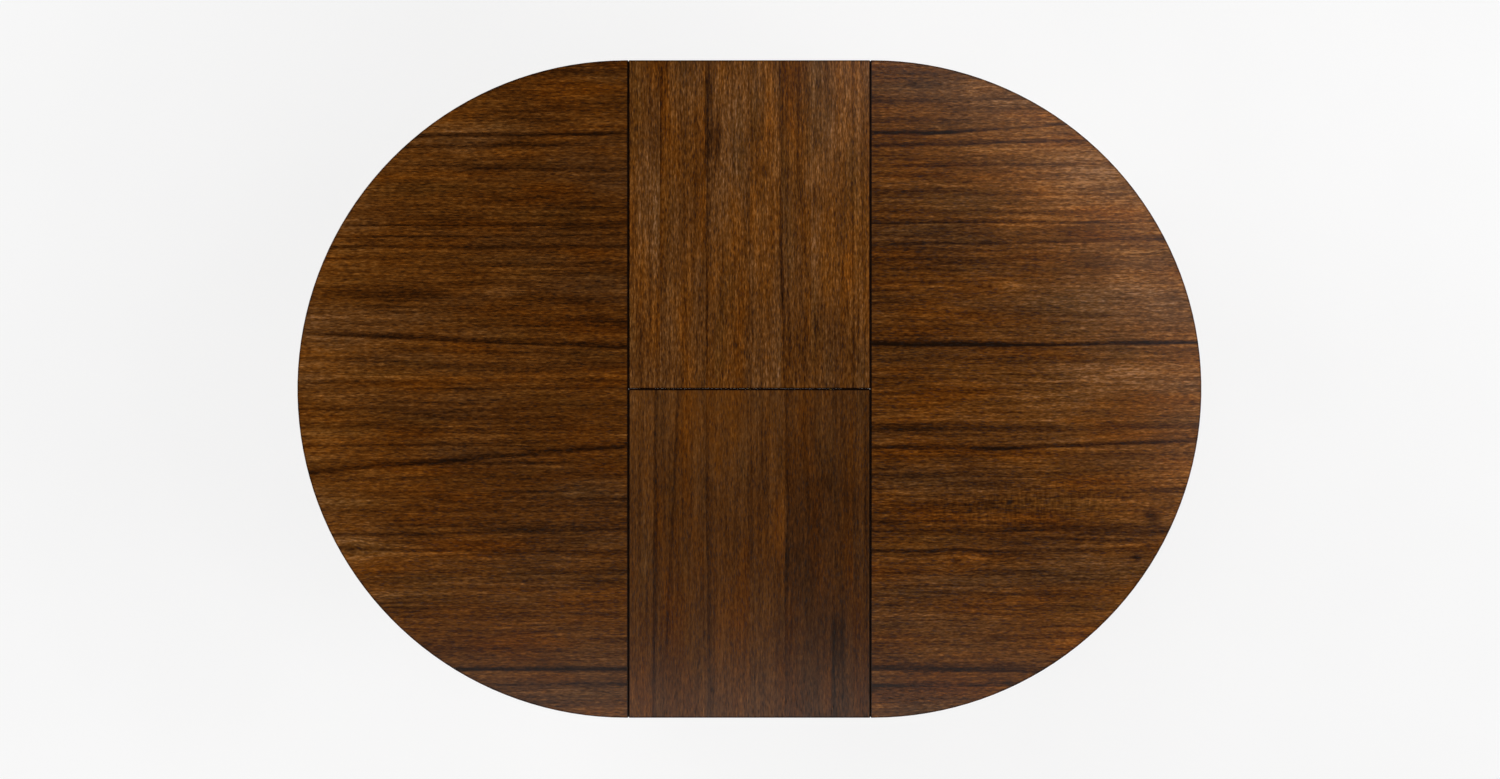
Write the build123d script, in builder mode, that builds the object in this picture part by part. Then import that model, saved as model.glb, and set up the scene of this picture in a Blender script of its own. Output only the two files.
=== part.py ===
from build123d import *

import os
from math import atan2, cos, hypot, pi, radians, sin, sqrt, tan

os.makedirs("parts", exist_ok=True)

# An extendable dining table with its folding leaf in place.
# X runs along the table, Y across it, Z up from the floor under its middle. Millimetres.

# Table top
TABLE_HEIGHT = 762.0
TOP_WIDTH = 1219.0
HALF_STRAIGHT = 3.5
LEAF_WIDTH = 447.0
TOP_THICKNESS = 22.0
SEAM_GAP = 1.5
FOLD_GAP = 1.5
SEAM_EASE = 0.8
RIM_ROUND = 2.0
RIM_BEVEL = 6.0
RIM_BEVEL_REACH = 14.0
LEAF_SEAT = 0.3

# Slides
RAIL_WIDTH = 24.0
RAIL_HEIGHT = 44.7
RAIL_HEADROOM = 0.3
RUNNER_WIDTH = 20.0
RUNNER_HEIGHT = 44.0
RUNNER_PLAY = 0.3
RUNNER_LAP = 60.0
RUNNER_REACH = 420.0
RUNNER_NOSE = 18.0
TONGUE_HEIGHT = 11.8
TONGUE_DEPTH = 6.7
TONGUE_PLAY = 0.3
TONGUE_DROP = 14.0
WELL_CLEARANCE = 12.3
LEG_CLEARANCE = 2.7

# Rack and pinion
GEAR_MODULE = 2.5
PINION_TEETH = 12
PRESSURE_ANGLE = 25.0
BACKLASH = 0.3
GEAR_FACE = 10.0
GEAR_DROP = 34.0
GEAR_ROOM = 1.0
RACK_BACK = 4.0
RACK_SPARE = 20.0
AXLE_DIAMETER = 6.0
AXLE_PLAY = 0.05

# Base frame
BASE_LENGTH = 740.0
LEG_BLOCK = 50.0
LEG_ROUND = 7.0
LEG_FOOT = 30.0
LEG_SPLAY = 22.0
GLIDE_HEIGHT = 6.0
GLIDE_DIAMETER = 26.0
APRON_THICKNESS = 20.0
APRON_GAP = 2.0
APRON_COVER = 2.0
APRON_EASE = 3.0
BRACE_THICKNESS = 18.0
BRACE_GAP = 3.2
BRACE_MARGIN = 5.0
BLOCK_DROP = 10.0
GLIDE_STEM = 4.0
GLIDE_STEM_LENGTH = 14.0
WASHER_THICKNESS = 1.6
NUT_HEIGHT = 6.5
BOLT_DIAMETER = 8.0
BOLT_BITE = 25.0
BOLT_PLAY = 0.1

# Butterfly leaf
FOLD_AXIS_RISE = 0.5
STACK_HEADROOM = 5.0
PIVOT_DROP = 14.3
PIVOT_MARGIN = 25.275
PIVOT_SPACING = 120.0
BRACKET_INSET = 33.5
BRACKET_PLATE = 4.0
BRACKET_FLANGE = 3.0
BRACKET_OVERHANG = 14.0
ARM_THICKNESS = 4.0
ARM_WIDTH = 16.0
ARM_GAP = 1.0
EYE_RADIUS = 9.0
SHAFT_DIAMETER = 10.0
STUD_DIAMETER = 6.0
PIVOT_PLAY = 0.1
BATTEN_WIDTH = 30.0
BATTEN_HEIGHT = 20.0
ARM_FLOOR = 2.0
REST_LENGTH = 40.0
REST_INSET = 1.0
FELT_THICKNESS = 2.0
HINGE_SPACING = 150.0
HINGE_DIAMETER = 14.0
HINGE_DEPTH = 16.0
HINGE_DROP = 11.0
LINK_INNER = 8.0
LINK_OUTER = 15.0
LINK_HALF_ANGLE = 40.0
LINK_WIDTH = 5.0
LINK_PLAY = 0.5

# Table locks and stiffeners
LOCK_EDGE = 129.5
LOCK_INSET = 26.0
KEEPER_INSET = 8.0
LOCK_PLATE = 3.0
LOCK_PLATE_LENGTH = 40.0
LOCK_PLATE_WIDTH = 36.0
KEEPER_LENGTH = 28.0
KEEPER_POST = 7.0
LOCK_POST = 8.0
POST_HEAD = 13.0
POST_HEAD_HEIGHT = 2.0
LOCK_LEVER = 6.0
LOCK_PLAY = 0.5
HOOK_INNER = 38.0
HOOK_OUTER = 46.0
HOOK_START = 20.0
HOOK_SPAN = 85.0
HOOK_WEB_INSET = 8.0
HUB_RADIUS = 11.0
STIFFENER_REACH = 470.0
STIFFENER_LENGTH = 500.0
STIFFENER_WIDTH = 40.0
STIFFENER_HEIGHT = 18.0

# Wood screws
SCREW_SHANK = 4.5
SCREW_HEAD = 9.0
SCREW_HEAD_HEIGHT = 3.5
SCREW_GRIP = 14.0
SCREW_BITE = 15.0
SCREW_PLAY = 0.1
SCREW_SINK = 0.5
HOLE_SPARE = 1.0

# Worked out from the above: levels
UNDERSIDE = TABLE_HEIGHT - TOP_THICKNESS
LEAF_THICKNESS = TOP_THICKNESS - LEAF_SEAT
LEAF_UNDERSIDE = TABLE_HEIGHT - LEAF_THICKNESS
FOLD_AXIS_Z = TABLE_HEIGHT + FOLD_AXIS_RISE
STACK_HEIGHT = 2 * (LEAF_THICKNESS + FOLD_AXIS_RISE)
STOW_DROP = STACK_HEIGHT + STACK_HEADROOM
RAIL_TOP = UNDERSIDE - RAIL_HEADROOM
RAIL_BOTTOM = RAIL_TOP - RAIL_HEIGHT
RUNNER_BOTTOM = UNDERSIDE - RUNNER_HEIGHT
TONGUE_Z = UNDERSIDE - TONGUE_DROP
GEAR_Z = UNDERSIDE - GEAR_DROP
PIVOT_TOP = LEAF_UNDERSIDE - PIVOT_DROP
PIVOT_Z = PIVOT_TOP - STOW_DROP
STOWED_UNDERSIDE = LEAF_UNDERSIDE - STOW_DROP
BATTEN_TOP = PIVOT_Z - EYE_RADIUS - ARM_FLOOR - BRACKET_FLANGE
BATTEN_BOTTOM = BATTEN_TOP - BATTEN_HEIGHT
APRON_TOP = UNDERSIDE - APRON_GAP
APRON_BOTTOM = BATTEN_BOTTOM - APRON_COVER
BRACE_BOTTOM = APRON_BOTTOM + BRACE_MARGIN
BRACE_TOP = RAIL_BOTTOM - BRACE_MARGIN
BOLT_LEVELS = [BRACE_BOTTOM + share * (BRACE_TOP - BRACE_BOTTOM) for share in (0.25, 0.75)]
BLOCK_BOTTOM = APRON_BOTTOM - BLOCK_DROP
REST_TOP = STOWED_UNDERSIDE - LEAF_SEAT - FELT_THICKNESS

# Plan of the top
TOP_RADIUS = TOP_WIDTH / 2
SEAM_X = LEAF_WIDTH / 2 + SEAM_GAP
RIM_CENTRE = SEAM_X + HALF_STRAIGHT
RIM_END = RIM_CENTRE + TOP_RADIUS
BOARD_LENGTH = TOP_RADIUS - FOLD_GAP / 2
BOARD_MIDDLE = FOLD_GAP / 2 + BOARD_LENGTH / 2
LOCK_Y = TOP_RADIUS - LOCK_EDGE

# Plan of the slides and the base
WELL_HALF = BOARD_LENGTH / 2 + WELL_CLEARANCE
SLIDE_Y = WELL_HALF + RUNNER_WIDTH + RUNNER_PLAY + RAIL_WIDTH / 2
RUNNER_OFFSET = RAIL_WIDTH / 2 + RUNNER_PLAY + RUNNER_WIDTH / 2
RUNNER_FACE = RAIL_WIDTH / 2 + RUNNER_PLAY
RUNNER_END = SEAM_X + RUNNER_REACH
LEG_X = BASE_LENGTH / 2
LEG_Y = SLIDE_Y + RUNNER_OFFSET + RUNNER_WIDTH / 2 + LEG_CLEARANCE + LEG_BLOCK / 2
LEG_INNER_X = LEG_X - LEG_BLOCK / 2
LEG_INNER_Y = LEG_Y - LEG_BLOCK / 2
APRON_INNER_X = LEG_X - APRON_THICKNESS / 2
APRON_INNER_Y = LEG_Y - APRON_THICKNESS / 2
RAIL_LENGTH = BASE_LENGTH + APRON_THICKNESS

# Gearing
PITCH_RADIUS = GEAR_MODULE * PINION_TEETH / 2
TIP_RADIUS = PITCH_RADIUS + GEAR_MODULE
ROOT_RADIUS = PITCH_RADIUS - 1.25 * GEAR_MODULE
BASE_RADIUS = PITCH_RADIUS * cos(radians(PRESSURE_ANGLE))
TOOTH_PITCH = pi * GEAR_MODULE
TOOTH_THICKNESS = TOOTH_PITCH / 2 - BACKLASH / 2
RACK_ROOT = PITCH_RADIUS + 1.25 * GEAR_MODULE
RACK_REAR = RACK_ROOT + RACK_BACK
LAP_TEETH = int(RUNNER_LAP / TOOTH_PITCH)
RUN_TEETH = int((SEAM_X + RACK_SPARE) / TOOTH_PITCH)
RACK_SLOT = GEAR_FACE + 2 * GEAR_ROOM
PINION_POCKET = 2 * (TIP_RADIUS + GEAR_ROOM)
AXLE_TOP = GEAR_Z + GEAR_FACE / 2 + GEAR_ROOM + AXLE_DIAMETER

# Swing of the leaf: the pivots at rest and stowed, arms from the fixed to the moving pivots
PIVOT_REACH = WELL_HALF - PIVOT_MARGIN
SWING_SHIFT = BOARD_MIDDLE
ARM_REACH = (SWING_SHIFT - STOW_DROP**2 / SWING_SHIFT) / 2
ARM_LENGTH = hypot(ARM_REACH, STOW_DROP)
ARM_ANGLE = 180 - atan2(STOW_DROP, ARM_REACH) * 180 / pi
MOVING_PIVOTS = [-PIVOT_REACH, -PIVOT_REACH + PIVOT_SPACING]
FIXED_PIVOTS = [y + ARM_REACH for y in MOVING_PIVOTS]
BRACKET_X = LEAF_WIDTH / 2 - BRACKET_INSET
BRACKET_OUTER = BRACKET_X + BRACKET_PLATE / 2
BRACKET_INNER = BRACKET_X - BRACKET_PLATE / 2
ARM_X = {"front": BRACKET_OUTER + ARM_GAP, "rear": BRACKET_INNER - ARM_GAP - ARM_THICKNESS}
SHAFT_END = {"front": BRACKET_OUTER + 3 * ARM_GAP + ARM_THICKNESS, "rear": BRACKET_OUTER}
STUD_SPAN = {
    "front": (BRACKET_INNER, ARM_X["front"]),
    "rear": (ARM_X["rear"] + ARM_THICKNESS, BRACKET_OUTER),
}
REST_Y = 0.82 * BOARD_LENGTH / 2

# Locks and screws
LEVER_TOP = UNDERSIDE - LOCK_PLATE - LOCK_PLAY
LEVER_BOTTOM = LEVER_TOP - LOCK_LEVER
POST_END = LEVER_BOTTOM - LOCK_PLAY - POST_HEAD_HEIGHT
LOCK_X = -(SEAM_X + LOCK_INSET)
KEEPER_X = SEAM_X + KEEPER_INSET
STIFFENER_X = SEAM_X + STIFFENER_REACH
RUNNER_SCREWS = [SEAM_X + share * RUNNER_REACH for share in (0.16, 0.53, 0.9)]
STIFFENER_SCREWS = [-0.4 * STIFFENER_LENGTH, 0.0, 0.4 * STIFFENER_LENGTH]

SIDES = {"left": -1, "right": 1}
ROWS = {"front": -1, "back": 1}
RUNNER_Y = {"left": SLIDE_Y + RUNNER_OFFSET, "right": SLIDE_Y - RUNNER_OFFSET}
FACING = {"left": -1, "right": 1}


def save(piece, node):
    """Label a finished piece and write it as a file of that name."""
    piece.part.label = node
    export_step(piece.part, f"parts/{node}.step")


def span(start, end):
    """The middle and the length of a stretch."""
    return (start + end) / 2, abs(end - start)


def block(x_range, y_range, z_range, mode=Mode.ADD):
    """A plain rectangular block between three pairs of limits."""
    x, length = span(*x_range)
    y, width = span(*y_range)
    z, height = span(*z_range)
    with Locations((x, y, z)):
        Box(length, width, height, mode=mode)


def rim_section(x, inner, bottom, sign):
    """Section of a top board across its rim, from an inner edge out to the rounded and bevelled rim."""
    rim = sign * TOP_RADIUS
    eased = RIM_ROUND * (1 - sin(pi / 4))
    with BuildSketch(Plane.YZ.offset(x)) as section:
        with BuildLine():
            lower = Polyline(
                (inner, bottom),
                (rim - sign * RIM_BEVEL_REACH, bottom),
                (rim, UNDERSIDE + RIM_BEVEL),
                (rim, TABLE_HEIGHT - RIM_ROUND),
            )
            upper = Line((rim - sign * RIM_ROUND, TABLE_HEIGHT), (inner, TABLE_HEIGHT))
            ThreePointArc(lower @ 1, (rim - sign * eased, TABLE_HEIGHT - eased), upper @ 0)
            Line(upper @ 1, lower @ 0)
        make_face()
    return section.sketch


# Half-round table tops, with pilot holes for the screws below
for side, sign in SIDES.items():
    with BuildPart() as top_half:
        back_section = rim_section(sign * RIM_CENTRE, 0, UNDERSIDE, 1)
        front_section = rim_section(sign * RIM_CENTRE, 0, UNDERSIDE, -1)
        round_axis = Axis((sign * RIM_CENTRE, 0, 0), (0, 0, 1))
        revolve(back_section, axis=round_axis, revolution_arc=-sign * 180)
        for section in (back_section, front_section):
            extrude(section, amount=HALF_STRAIGHT, dir=(-sign, 0, 0))
        top_edges = top_half.edges().filter_by(Axis.Y).group_by(Axis.Z)[-1]
        chamfer(top_edges.sort_by(Axis.X)[0 if sign > 0 else -1], SEAM_EASE)
        pilots = [(sign * x, row * RUNNER_Y[side]) for x in RUNNER_SCREWS for row in ROWS.values()]
        pilots += [(sign * STIFFENER_X, y) for y in STIFFENER_SCREWS]
        with BuildSketch(Plane.XY.offset(UNDERSIDE)):
            with Locations(*pilots):
                Circle(SCREW_SHANK / 2 + SCREW_PLAY)
        extrude(amount=SCREW_BITE + HOLE_SPARE, mode=Mode.SUBTRACT)
    save(top_half, f"top_{side}")

# Leaf boards, bored for the concealed hinges along the fold
for row, sign in ROWS.items():
    with BuildPart() as board:
        fold_y = sign * FOLD_GAP / 2
        extrude(rim_section(-LEAF_WIDTH / 2, fold_y, LEAF_UNDERSIDE, sign), amount=LEAF_WIDTH, dir=(1, 0, 0))
        top_edges = board.faces().sort_by(Axis.Z)[-1].edges().sort_by(Axis.Y)
        chamfer(top_edges[1:] if sign < 0 else top_edges[:-1], SEAM_EASE)
        with BuildSketch(Plane.XZ.offset(-fold_y)):
            with Locations(*[(x, TABLE_HEIGHT - HINGE_DROP) for x in (-HINGE_SPACING, 0, HINGE_SPACING)]):
                Circle(HINGE_DIAMETER / 2 + AXLE_PLAY)
        extrude(amount=-sign * HINGE_DEPTH, mode=Mode.SUBTRACT)
    save(board, f"leaf_{row}")

# Concealed hinges: links fixed in the front board, cups that take them in the back board
with BuildPart() as hinge_links:
    for x in (-HINGE_SPACING, 0, HINGE_SPACING):
        with BuildSketch(Plane.XZ.offset(FOLD_GAP / 2)):
            with Locations((x, TABLE_HEIGHT - HINGE_DROP)):
                Circle(HINGE_DIAMETER / 2)
        extrude(amount=HINGE_DEPTH)
        with BuildSketch(Plane.YZ.offset(x - LINK_WIDTH / 2)):
            with BuildLine():
                outer = CenterArc((0, FOLD_AXIS_Z), LINK_OUTER, 270 - LINK_HALF_ANGLE, 2 * LINK_HALF_ANGLE)
                inner = CenterArc((0, FOLD_AXIS_Z), LINK_INNER, 270 - LINK_HALF_ANGLE, 2 * LINK_HALF_ANGLE)
                Line(outer @ 0, inner @ 0)
                Line(outer @ 1, inner @ 1)
            make_face()
        extrude(amount=LINK_WIDTH)
save(hinge_links, "hinge_links")

with BuildPart() as hinge_cups:
    pocket_end = LINK_OUTER * sin(radians(LINK_HALF_ANGLE)) + LINK_PLAY
    pocket_low = FOLD_AXIS_Z - LINK_OUTER - LINK_PLAY
    pocket_high = FOLD_AXIS_Z - LINK_INNER * cos(radians(LINK_HALF_ANGLE)) + LINK_PLAY
    for x in (-HINGE_SPACING, 0, HINGE_SPACING):
        with BuildSketch(Plane.XZ.offset(-FOLD_GAP / 2)):
            with Locations((x, TABLE_HEIGHT - HINGE_DROP)):
                Circle(HINGE_DIAMETER / 2)
        extrude(amount=-HINGE_DEPTH)
        half_width = LINK_WIDTH / 2 + LINK_PLAY
        block((x - half_width, x + half_width), (0, pocket_end), (pocket_low, pocket_high), Mode.SUBTRACT)
save(hinge_cups, "hinge_cups")

# Runners under each half: a tongue towards the centre rail and a slot for the rack
for side, sign in SIDES.items():
    for row, row_sign in ROWS.items():
        facing = FACING[side] * row_sign
        face_y = row_sign * RUNNER_Y[side] + facing * RUNNER_WIDTH / 2
        with BuildPart() as runner:
            with BuildSketch(Plane.XZ.offset(-face_y)):
                with BuildLine():
                    Polyline(
                        (-sign * RUNNER_LAP, UNDERSIDE),
                        (-sign * RUNNER_LAP, RUNNER_BOTTOM),
                        (sign * (RUNNER_END - RUNNER_NOSE), RUNNER_BOTTOM),
                        (sign * RUNNER_END, RUNNER_BOTTOM + RUNNER_NOSE),
                        (sign * RUNNER_END, UNDERSIDE),
                        close=True,
                    )
                make_face()
            extrude(amount=facing * RUNNER_WIDTH)
            tongue_z = (TONGUE_Z - TONGUE_HEIGHT / 2, TONGUE_Z + TONGUE_HEIGHT / 2)
            tongue_y = (face_y, face_y + facing * TONGUE_DEPTH)
            block((-sign * RUNNER_LAP, sign * RUNNER_END), tongue_y, tongue_z)
            slot_end = sign * (RUN_TEETH * TOOTH_PITCH + RUNNER_PLAY)
            slot_depth = RACK_REAR - RUNNER_FACE
            slot_z = (GEAR_Z - RACK_SLOT / 2, GEAR_Z + RACK_SLOT / 2)
            slot_y = (face_y, face_y - facing * slot_depth)
            block((-sign * RUNNER_LAP, slot_end), slot_y, slot_z, Mode.SUBTRACT)
            with BuildSketch(Plane.XY.offset(RUNNER_BOTTOM)):
                with Locations(*[(sign * x, row_sign * RUNNER_Y[side]) for x in RUNNER_SCREWS]):
                    Circle(SCREW_HEAD / 2 + SCREW_PLAY)
            extrude(amount=RUNNER_HEIGHT - SCREW_GRIP, mode=Mode.SUBTRACT)
            with BuildSketch(Plane.XY.offset(RUNNER_BOTTOM)):
                with Locations(*[(sign * x, row_sign * RUNNER_Y[side]) for x in RUNNER_SCREWS]):
                    Circle(SCREW_SHANK / 2 + SCREW_PLAY)
            extrude(amount=RUNNER_HEIGHT, mode=Mode.SUBTRACT)
        save(runner, f"runner_{side}_{row}")

        # The rack that lies in the slot, with a tooth space at the pinion
        towards_pinion = row_sign * SLIDE_Y
        with BuildPart() as rack:
            with BuildSketch(Plane.XY.offset(GEAR_Z - GEAR_FACE / 2)):
                strip_x, strip_length = span(-sign * LAP_TEETH * TOOTH_PITCH, sign * RUN_TEETH * TOOTH_PITCH)
                strip_y = towards_pinion - facing * (RACK_ROOT + RACK_REAR) / 2
                with Locations((strip_x, strip_y)):
                    Rectangle(strip_length, RACK_BACK)
                root_half = TOOTH_THICKNESS / 2 + 1.25 * GEAR_MODULE * tan(radians(PRESSURE_ANGLE))
                tip_half = TOOTH_THICKNESS / 2 - GEAR_MODULE * tan(radians(PRESSURE_ANGLE))
                root_y = towards_pinion - facing * RACK_ROOT
                tip_y = towards_pinion - facing * (PITCH_RADIUS - GEAR_MODULE)
                for tooth in range(-LAP_TEETH, RUN_TEETH):
                    tooth_x = sign * (tooth + 0.5) * TOOTH_PITCH
                    with BuildLine():
                        Polyline(
                            (tooth_x - root_half, root_y),
                            (tooth_x - tip_half, tip_y),
                            (tooth_x + tip_half, tip_y),
                            (tooth_x + root_half, root_y),
                            close=True,
                        )
                    make_face()
            extrude(amount=GEAR_FACE)
        save(rack, f"rack_{side}_{row}")


def involute(angle):
    """The roll of an involute at a pressure angle, in radians."""
    return tan(angle) - angle


def flank_points(steps=5):
    """One flank of a pinion tooth that points along +Y, from the root to the tip."""
    half_tooth = (TOOTH_THICKNESS / 2) / PITCH_RADIUS + involute(radians(PRESSURE_ANGLE))
    start = BASE_RADIUS * 1.001
    points = [((ROOT_RADIUS - 0.5) * sin(half_tooth), (ROOT_RADIUS - 0.5) * cos(half_tooth))]
    for step in range(steps + 1):
        radius = start + (TIP_RADIUS - start) * step / steps
        slant = atan2(sqrt(radius**2 - BASE_RADIUS**2), BASE_RADIUS)
        half_angle = half_tooth - involute(slant)
        points.append((radius * sin(half_angle), radius * cos(half_angle)))
    return points


# Pinions in the centre rails, and the axles they turn on
for row, sign in ROWS.items():
    with BuildPart() as pinion:
        with BuildSketch(Plane((0, sign * SLIDE_Y, GEAR_Z - GEAR_FACE / 2))):
            Circle(ROOT_RADIUS)
            flank = flank_points()
            other_flank = [(-x, y) for x, y in reversed(flank)]
            with PolarLocations(0, PINION_TEETH):
                Polygon(*flank, *other_flank, align=None)
            Circle(AXLE_DIAMETER / 2 + AXLE_PLAY, mode=Mode.SUBTRACT)
        extrude(amount=GEAR_FACE)
    save(pinion, f"pinion_{row}")

with BuildPart() as pinion_axles:
    with BuildSketch(Plane.XY.offset(RAIL_BOTTOM)):
        with Locations((0, -SLIDE_Y), (0, SLIDE_Y)):
            Circle(AXLE_DIAMETER / 2)
    extrude(amount=AXLE_TOP - RAIL_BOTTOM)
save(pinion_axles, "pinion_axles")

# Centre rails: grooves for the tongues, a pocket for the pinion, screws down into the end aprons
for row, sign in ROWS.items():
    with BuildPart() as rail:
        rail_y = sign * SLIDE_Y
        half_rail = RAIL_WIDTH / 2
        x_range = (-RAIL_LENGTH / 2, RAIL_LENGTH / 2)
        block(x_range, (rail_y - half_rail, rail_y + half_rail), (RAIL_BOTTOM, RAIL_TOP))
        groove = TONGUE_DEPTH + TONGUE_PLAY - RUNNER_PLAY
        groove_half = TONGUE_HEIGHT / 2 + TONGUE_PLAY
        for face in (-1, 1):
            groove_y = (rail_y + face * half_rail, rail_y + face * (half_rail - groove))
            block(x_range, groove_y, (TONGUE_Z - groove_half, TONGUE_Z + groove_half), Mode.SUBTRACT)
        pocket_z = (GEAR_Z - RACK_SLOT / 2, GEAR_Z + RACK_SLOT / 2)
        pocket_y = (rail_y - half_rail, rail_y + half_rail)
        block((-PINION_POCKET / 2, PINION_POCKET / 2), pocket_y, pocket_z, Mode.SUBTRACT)
        with BuildSketch(Plane.XY.offset(RAIL_BOTTOM)):
            with Locations((0, rail_y)):
                Circle(AXLE_DIAMETER / 2 + AXLE_PLAY)
        extrude(amount=AXLE_TOP - RAIL_BOTTOM, mode=Mode.SUBTRACT)
        with Locations((-LEG_X, rail_y, RAIL_TOP), (LEG_X, rail_y, RAIL_TOP)):
            CounterBoreHole(
                radius=SCREW_SHANK / 2 + SCREW_PLAY,
                counter_bore_radius=SCREW_HEAD / 2 + SCREW_PLAY,
                counter_bore_depth=SCREW_HEAD_HEIGHT + SCREW_SINK,
            )
    save(rail, f"centre_rail_{row}")

with BuildPart() as rail_screws:
    for x in (-LEG_X, LEG_X):
        for y in (-SLIDE_Y, SLIDE_Y):
            with BuildSketch(Plane((x, y, RAIL_TOP - SCREW_SINK - SCREW_HEAD_HEIGHT))):
                Circle(SCREW_HEAD / 2)
            extrude(amount=SCREW_HEAD_HEIGHT)
            with BuildSketch(Plane((x, y, RAIL_BOTTOM - SCREW_BITE))):
                Circle(SCREW_SHANK / 2)
            extrude(amount=RAIL_HEIGHT + SCREW_BITE - SCREW_SINK - SCREW_HEAD_HEIGHT)
save(rail_screws, "rail_screws")

# Screws that hold the runners and the stiffener to each half
for side, sign in SIDES.items():
    with BuildPart() as half_screws:
        places = [(sign * x, row * RUNNER_Y[side]) for x in RUNNER_SCREWS for row in ROWS.values()]
        places += [(sign * STIFFENER_X, y) for y in STIFFENER_SCREWS]
        with BuildSketch(Plane.XY.offset(UNDERSIDE - SCREW_GRIP - SCREW_HEAD_HEIGHT)):
            with Locations(*places):
                Circle(SCREW_HEAD / 2)
        extrude(amount=SCREW_HEAD_HEIGHT)
        with BuildSketch(Plane.XY.offset(UNDERSIDE - SCREW_GRIP)):
            with Locations(*places):
                Circle(SCREW_SHANK / 2)
        extrude(amount=SCREW_GRIP + SCREW_BITE)
    save(half_screws, f"half_screws_{side}")

    with BuildPart() as stiffener:
        with BuildSketch(Plane.YZ.offset(sign * STIFFENER_X - STIFFENER_WIDTH / 2)):
            with BuildLine():
                Polyline(
                    (-STIFFENER_LENGTH / 2, UNDERSIDE),
                    (-STIFFENER_LENGTH / 2 + STIFFENER_HEIGHT, UNDERSIDE - STIFFENER_HEIGHT),
                    (STIFFENER_LENGTH / 2 - STIFFENER_HEIGHT, UNDERSIDE - STIFFENER_HEIGHT),
                    (STIFFENER_LENGTH / 2, UNDERSIDE),
                    close=True,
                )
            make_face()
        extrude(amount=STIFFENER_WIDTH)
        with BuildSketch(Plane.XY.offset(UNDERSIDE - STIFFENER_HEIGHT)):
            with Locations(*[(sign * STIFFENER_X, y) for y in STIFFENER_SCREWS]):
                Circle(SCREW_HEAD / 2 + SCREW_PLAY)
        extrude(amount=STIFFENER_HEIGHT - SCREW_GRIP, mode=Mode.SUBTRACT)
        with BuildSketch(Plane.XY.offset(UNDERSIDE - STIFFENER_HEIGHT)):
            with Locations(*[(sign * STIFFENER_X, y) for y in STIFFENER_SCREWS]):
                Circle(SCREW_SHANK / 2 + SCREW_PLAY)
        extrude(amount=STIFFENER_HEIGHT, mode=Mode.SUBTRACT)
    save(stiffener, f"stiffener_{side}")

# Aprons: long ones front and back, and end ones stepped down where the slides cross them
for row, sign in ROWS.items():
    with BuildPart() as long_apron:
        y_range = (sign * APRON_INNER_Y, sign * (APRON_INNER_Y + APRON_THICKNESS))
        block((-LEG_INNER_X, LEG_INNER_X), y_range, (APRON_BOTTOM, APRON_TOP))
        fillet(long_apron.edges().filter_by(Axis.X).group_by(Axis.Z)[0], APRON_EASE)
    save(long_apron, f"apron_{row}")

for side, sign in SIDES.items():
    with BuildPart() as end_apron:
        start_x = sign * LEG_X - APRON_THICKNESS / 2
        step_y = WELL_HALF - RUNNER_PLAY - APRON_GAP
        with BuildSketch(Plane.YZ.offset(start_x)):
            with BuildLine():
                Polyline(
                    (-LEG_INNER_Y, APRON_BOTTOM),
                    (LEG_INNER_Y, APRON_BOTTOM),
                    (LEG_INNER_Y, RAIL_BOTTOM),
                    (step_y, RAIL_BOTTOM),
                    (step_y, APRON_TOP),
                    (-step_y, APRON_TOP),
                    (-step_y, RAIL_BOTTOM),
                    (-LEG_INNER_Y, RAIL_BOTTOM),
                    close=True,
                )
            make_face()
        extrude(amount=APRON_THICKNESS)
        fillet(end_apron.edges().filter_by(Axis.Y).group_by(Axis.Z)[0], APRON_EASE)
        with BuildSketch(Plane.XY.offset(RAIL_BOTTOM)):
            with Locations((sign * LEG_X, -SLIDE_Y), (sign * LEG_X, SLIDE_Y)):
                Circle(SCREW_SHANK / 2 + SCREW_PLAY)
        extrude(amount=-(SCREW_BITE + HOLE_SPARE), mode=Mode.SUBTRACT)
    save(end_apron, f"apron_{side}")

# Legs: a square block that flows into a splayed round taper, drilled for the bolts and the glide
corners = [(side, row, x_sign, y_sign) for side, x_sign in SIDES.items() for row, y_sign in ROWS.items()]
for side, row, x_sign, y_sign in corners:
    leg_point = (x_sign * LEG_X, y_sign * LEG_Y)
    foot_point = (x_sign * (LEG_X + LEG_SPLAY), y_sign * (LEG_Y + LEG_SPLAY))
    with BuildPart() as leg:
        with BuildSketch(Plane.XY.offset(BLOCK_BOTTOM)):
            with Locations(leg_point):
                RectangleRounded(LEG_BLOCK, LEG_BLOCK, LEG_ROUND)
        extrude(amount=APRON_TOP - BLOCK_BOTTOM)
        with BuildSketch(Plane.XY.offset(BLOCK_BOTTOM)):
            with Locations(leg_point):
                RectangleRounded(LEG_BLOCK, LEG_BLOCK, LEG_ROUND)
        with BuildSketch(Plane.XY.offset(GLIDE_HEIGHT)):
            with Locations(foot_point):
                RectangleRounded(LEG_FOOT, LEG_FOOT, 0.49 * LEG_FOOT)
        loft()
        with BuildSketch(Plane.XY.offset(GLIDE_HEIGHT)):
            with Locations(foot_point):
                Circle(GLIDE_STEM / 2 + BOLT_PLAY)
        extrude(amount=GLIDE_STEM_LENGTH + HOLE_SPARE, mode=Mode.SUBTRACT)
        for level in BOLT_LEVELS:
            with BuildSketch(Plane((*leg_point, level), z_dir=(-x_sign, -y_sign, 0))):
                Circle(BOLT_DIAMETER / 2 + BOLT_PLAY)
            extrude(amount=LEG_BLOCK, mode=Mode.SUBTRACT)
    save(leg, f"leg_{side}_{row}")

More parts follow.
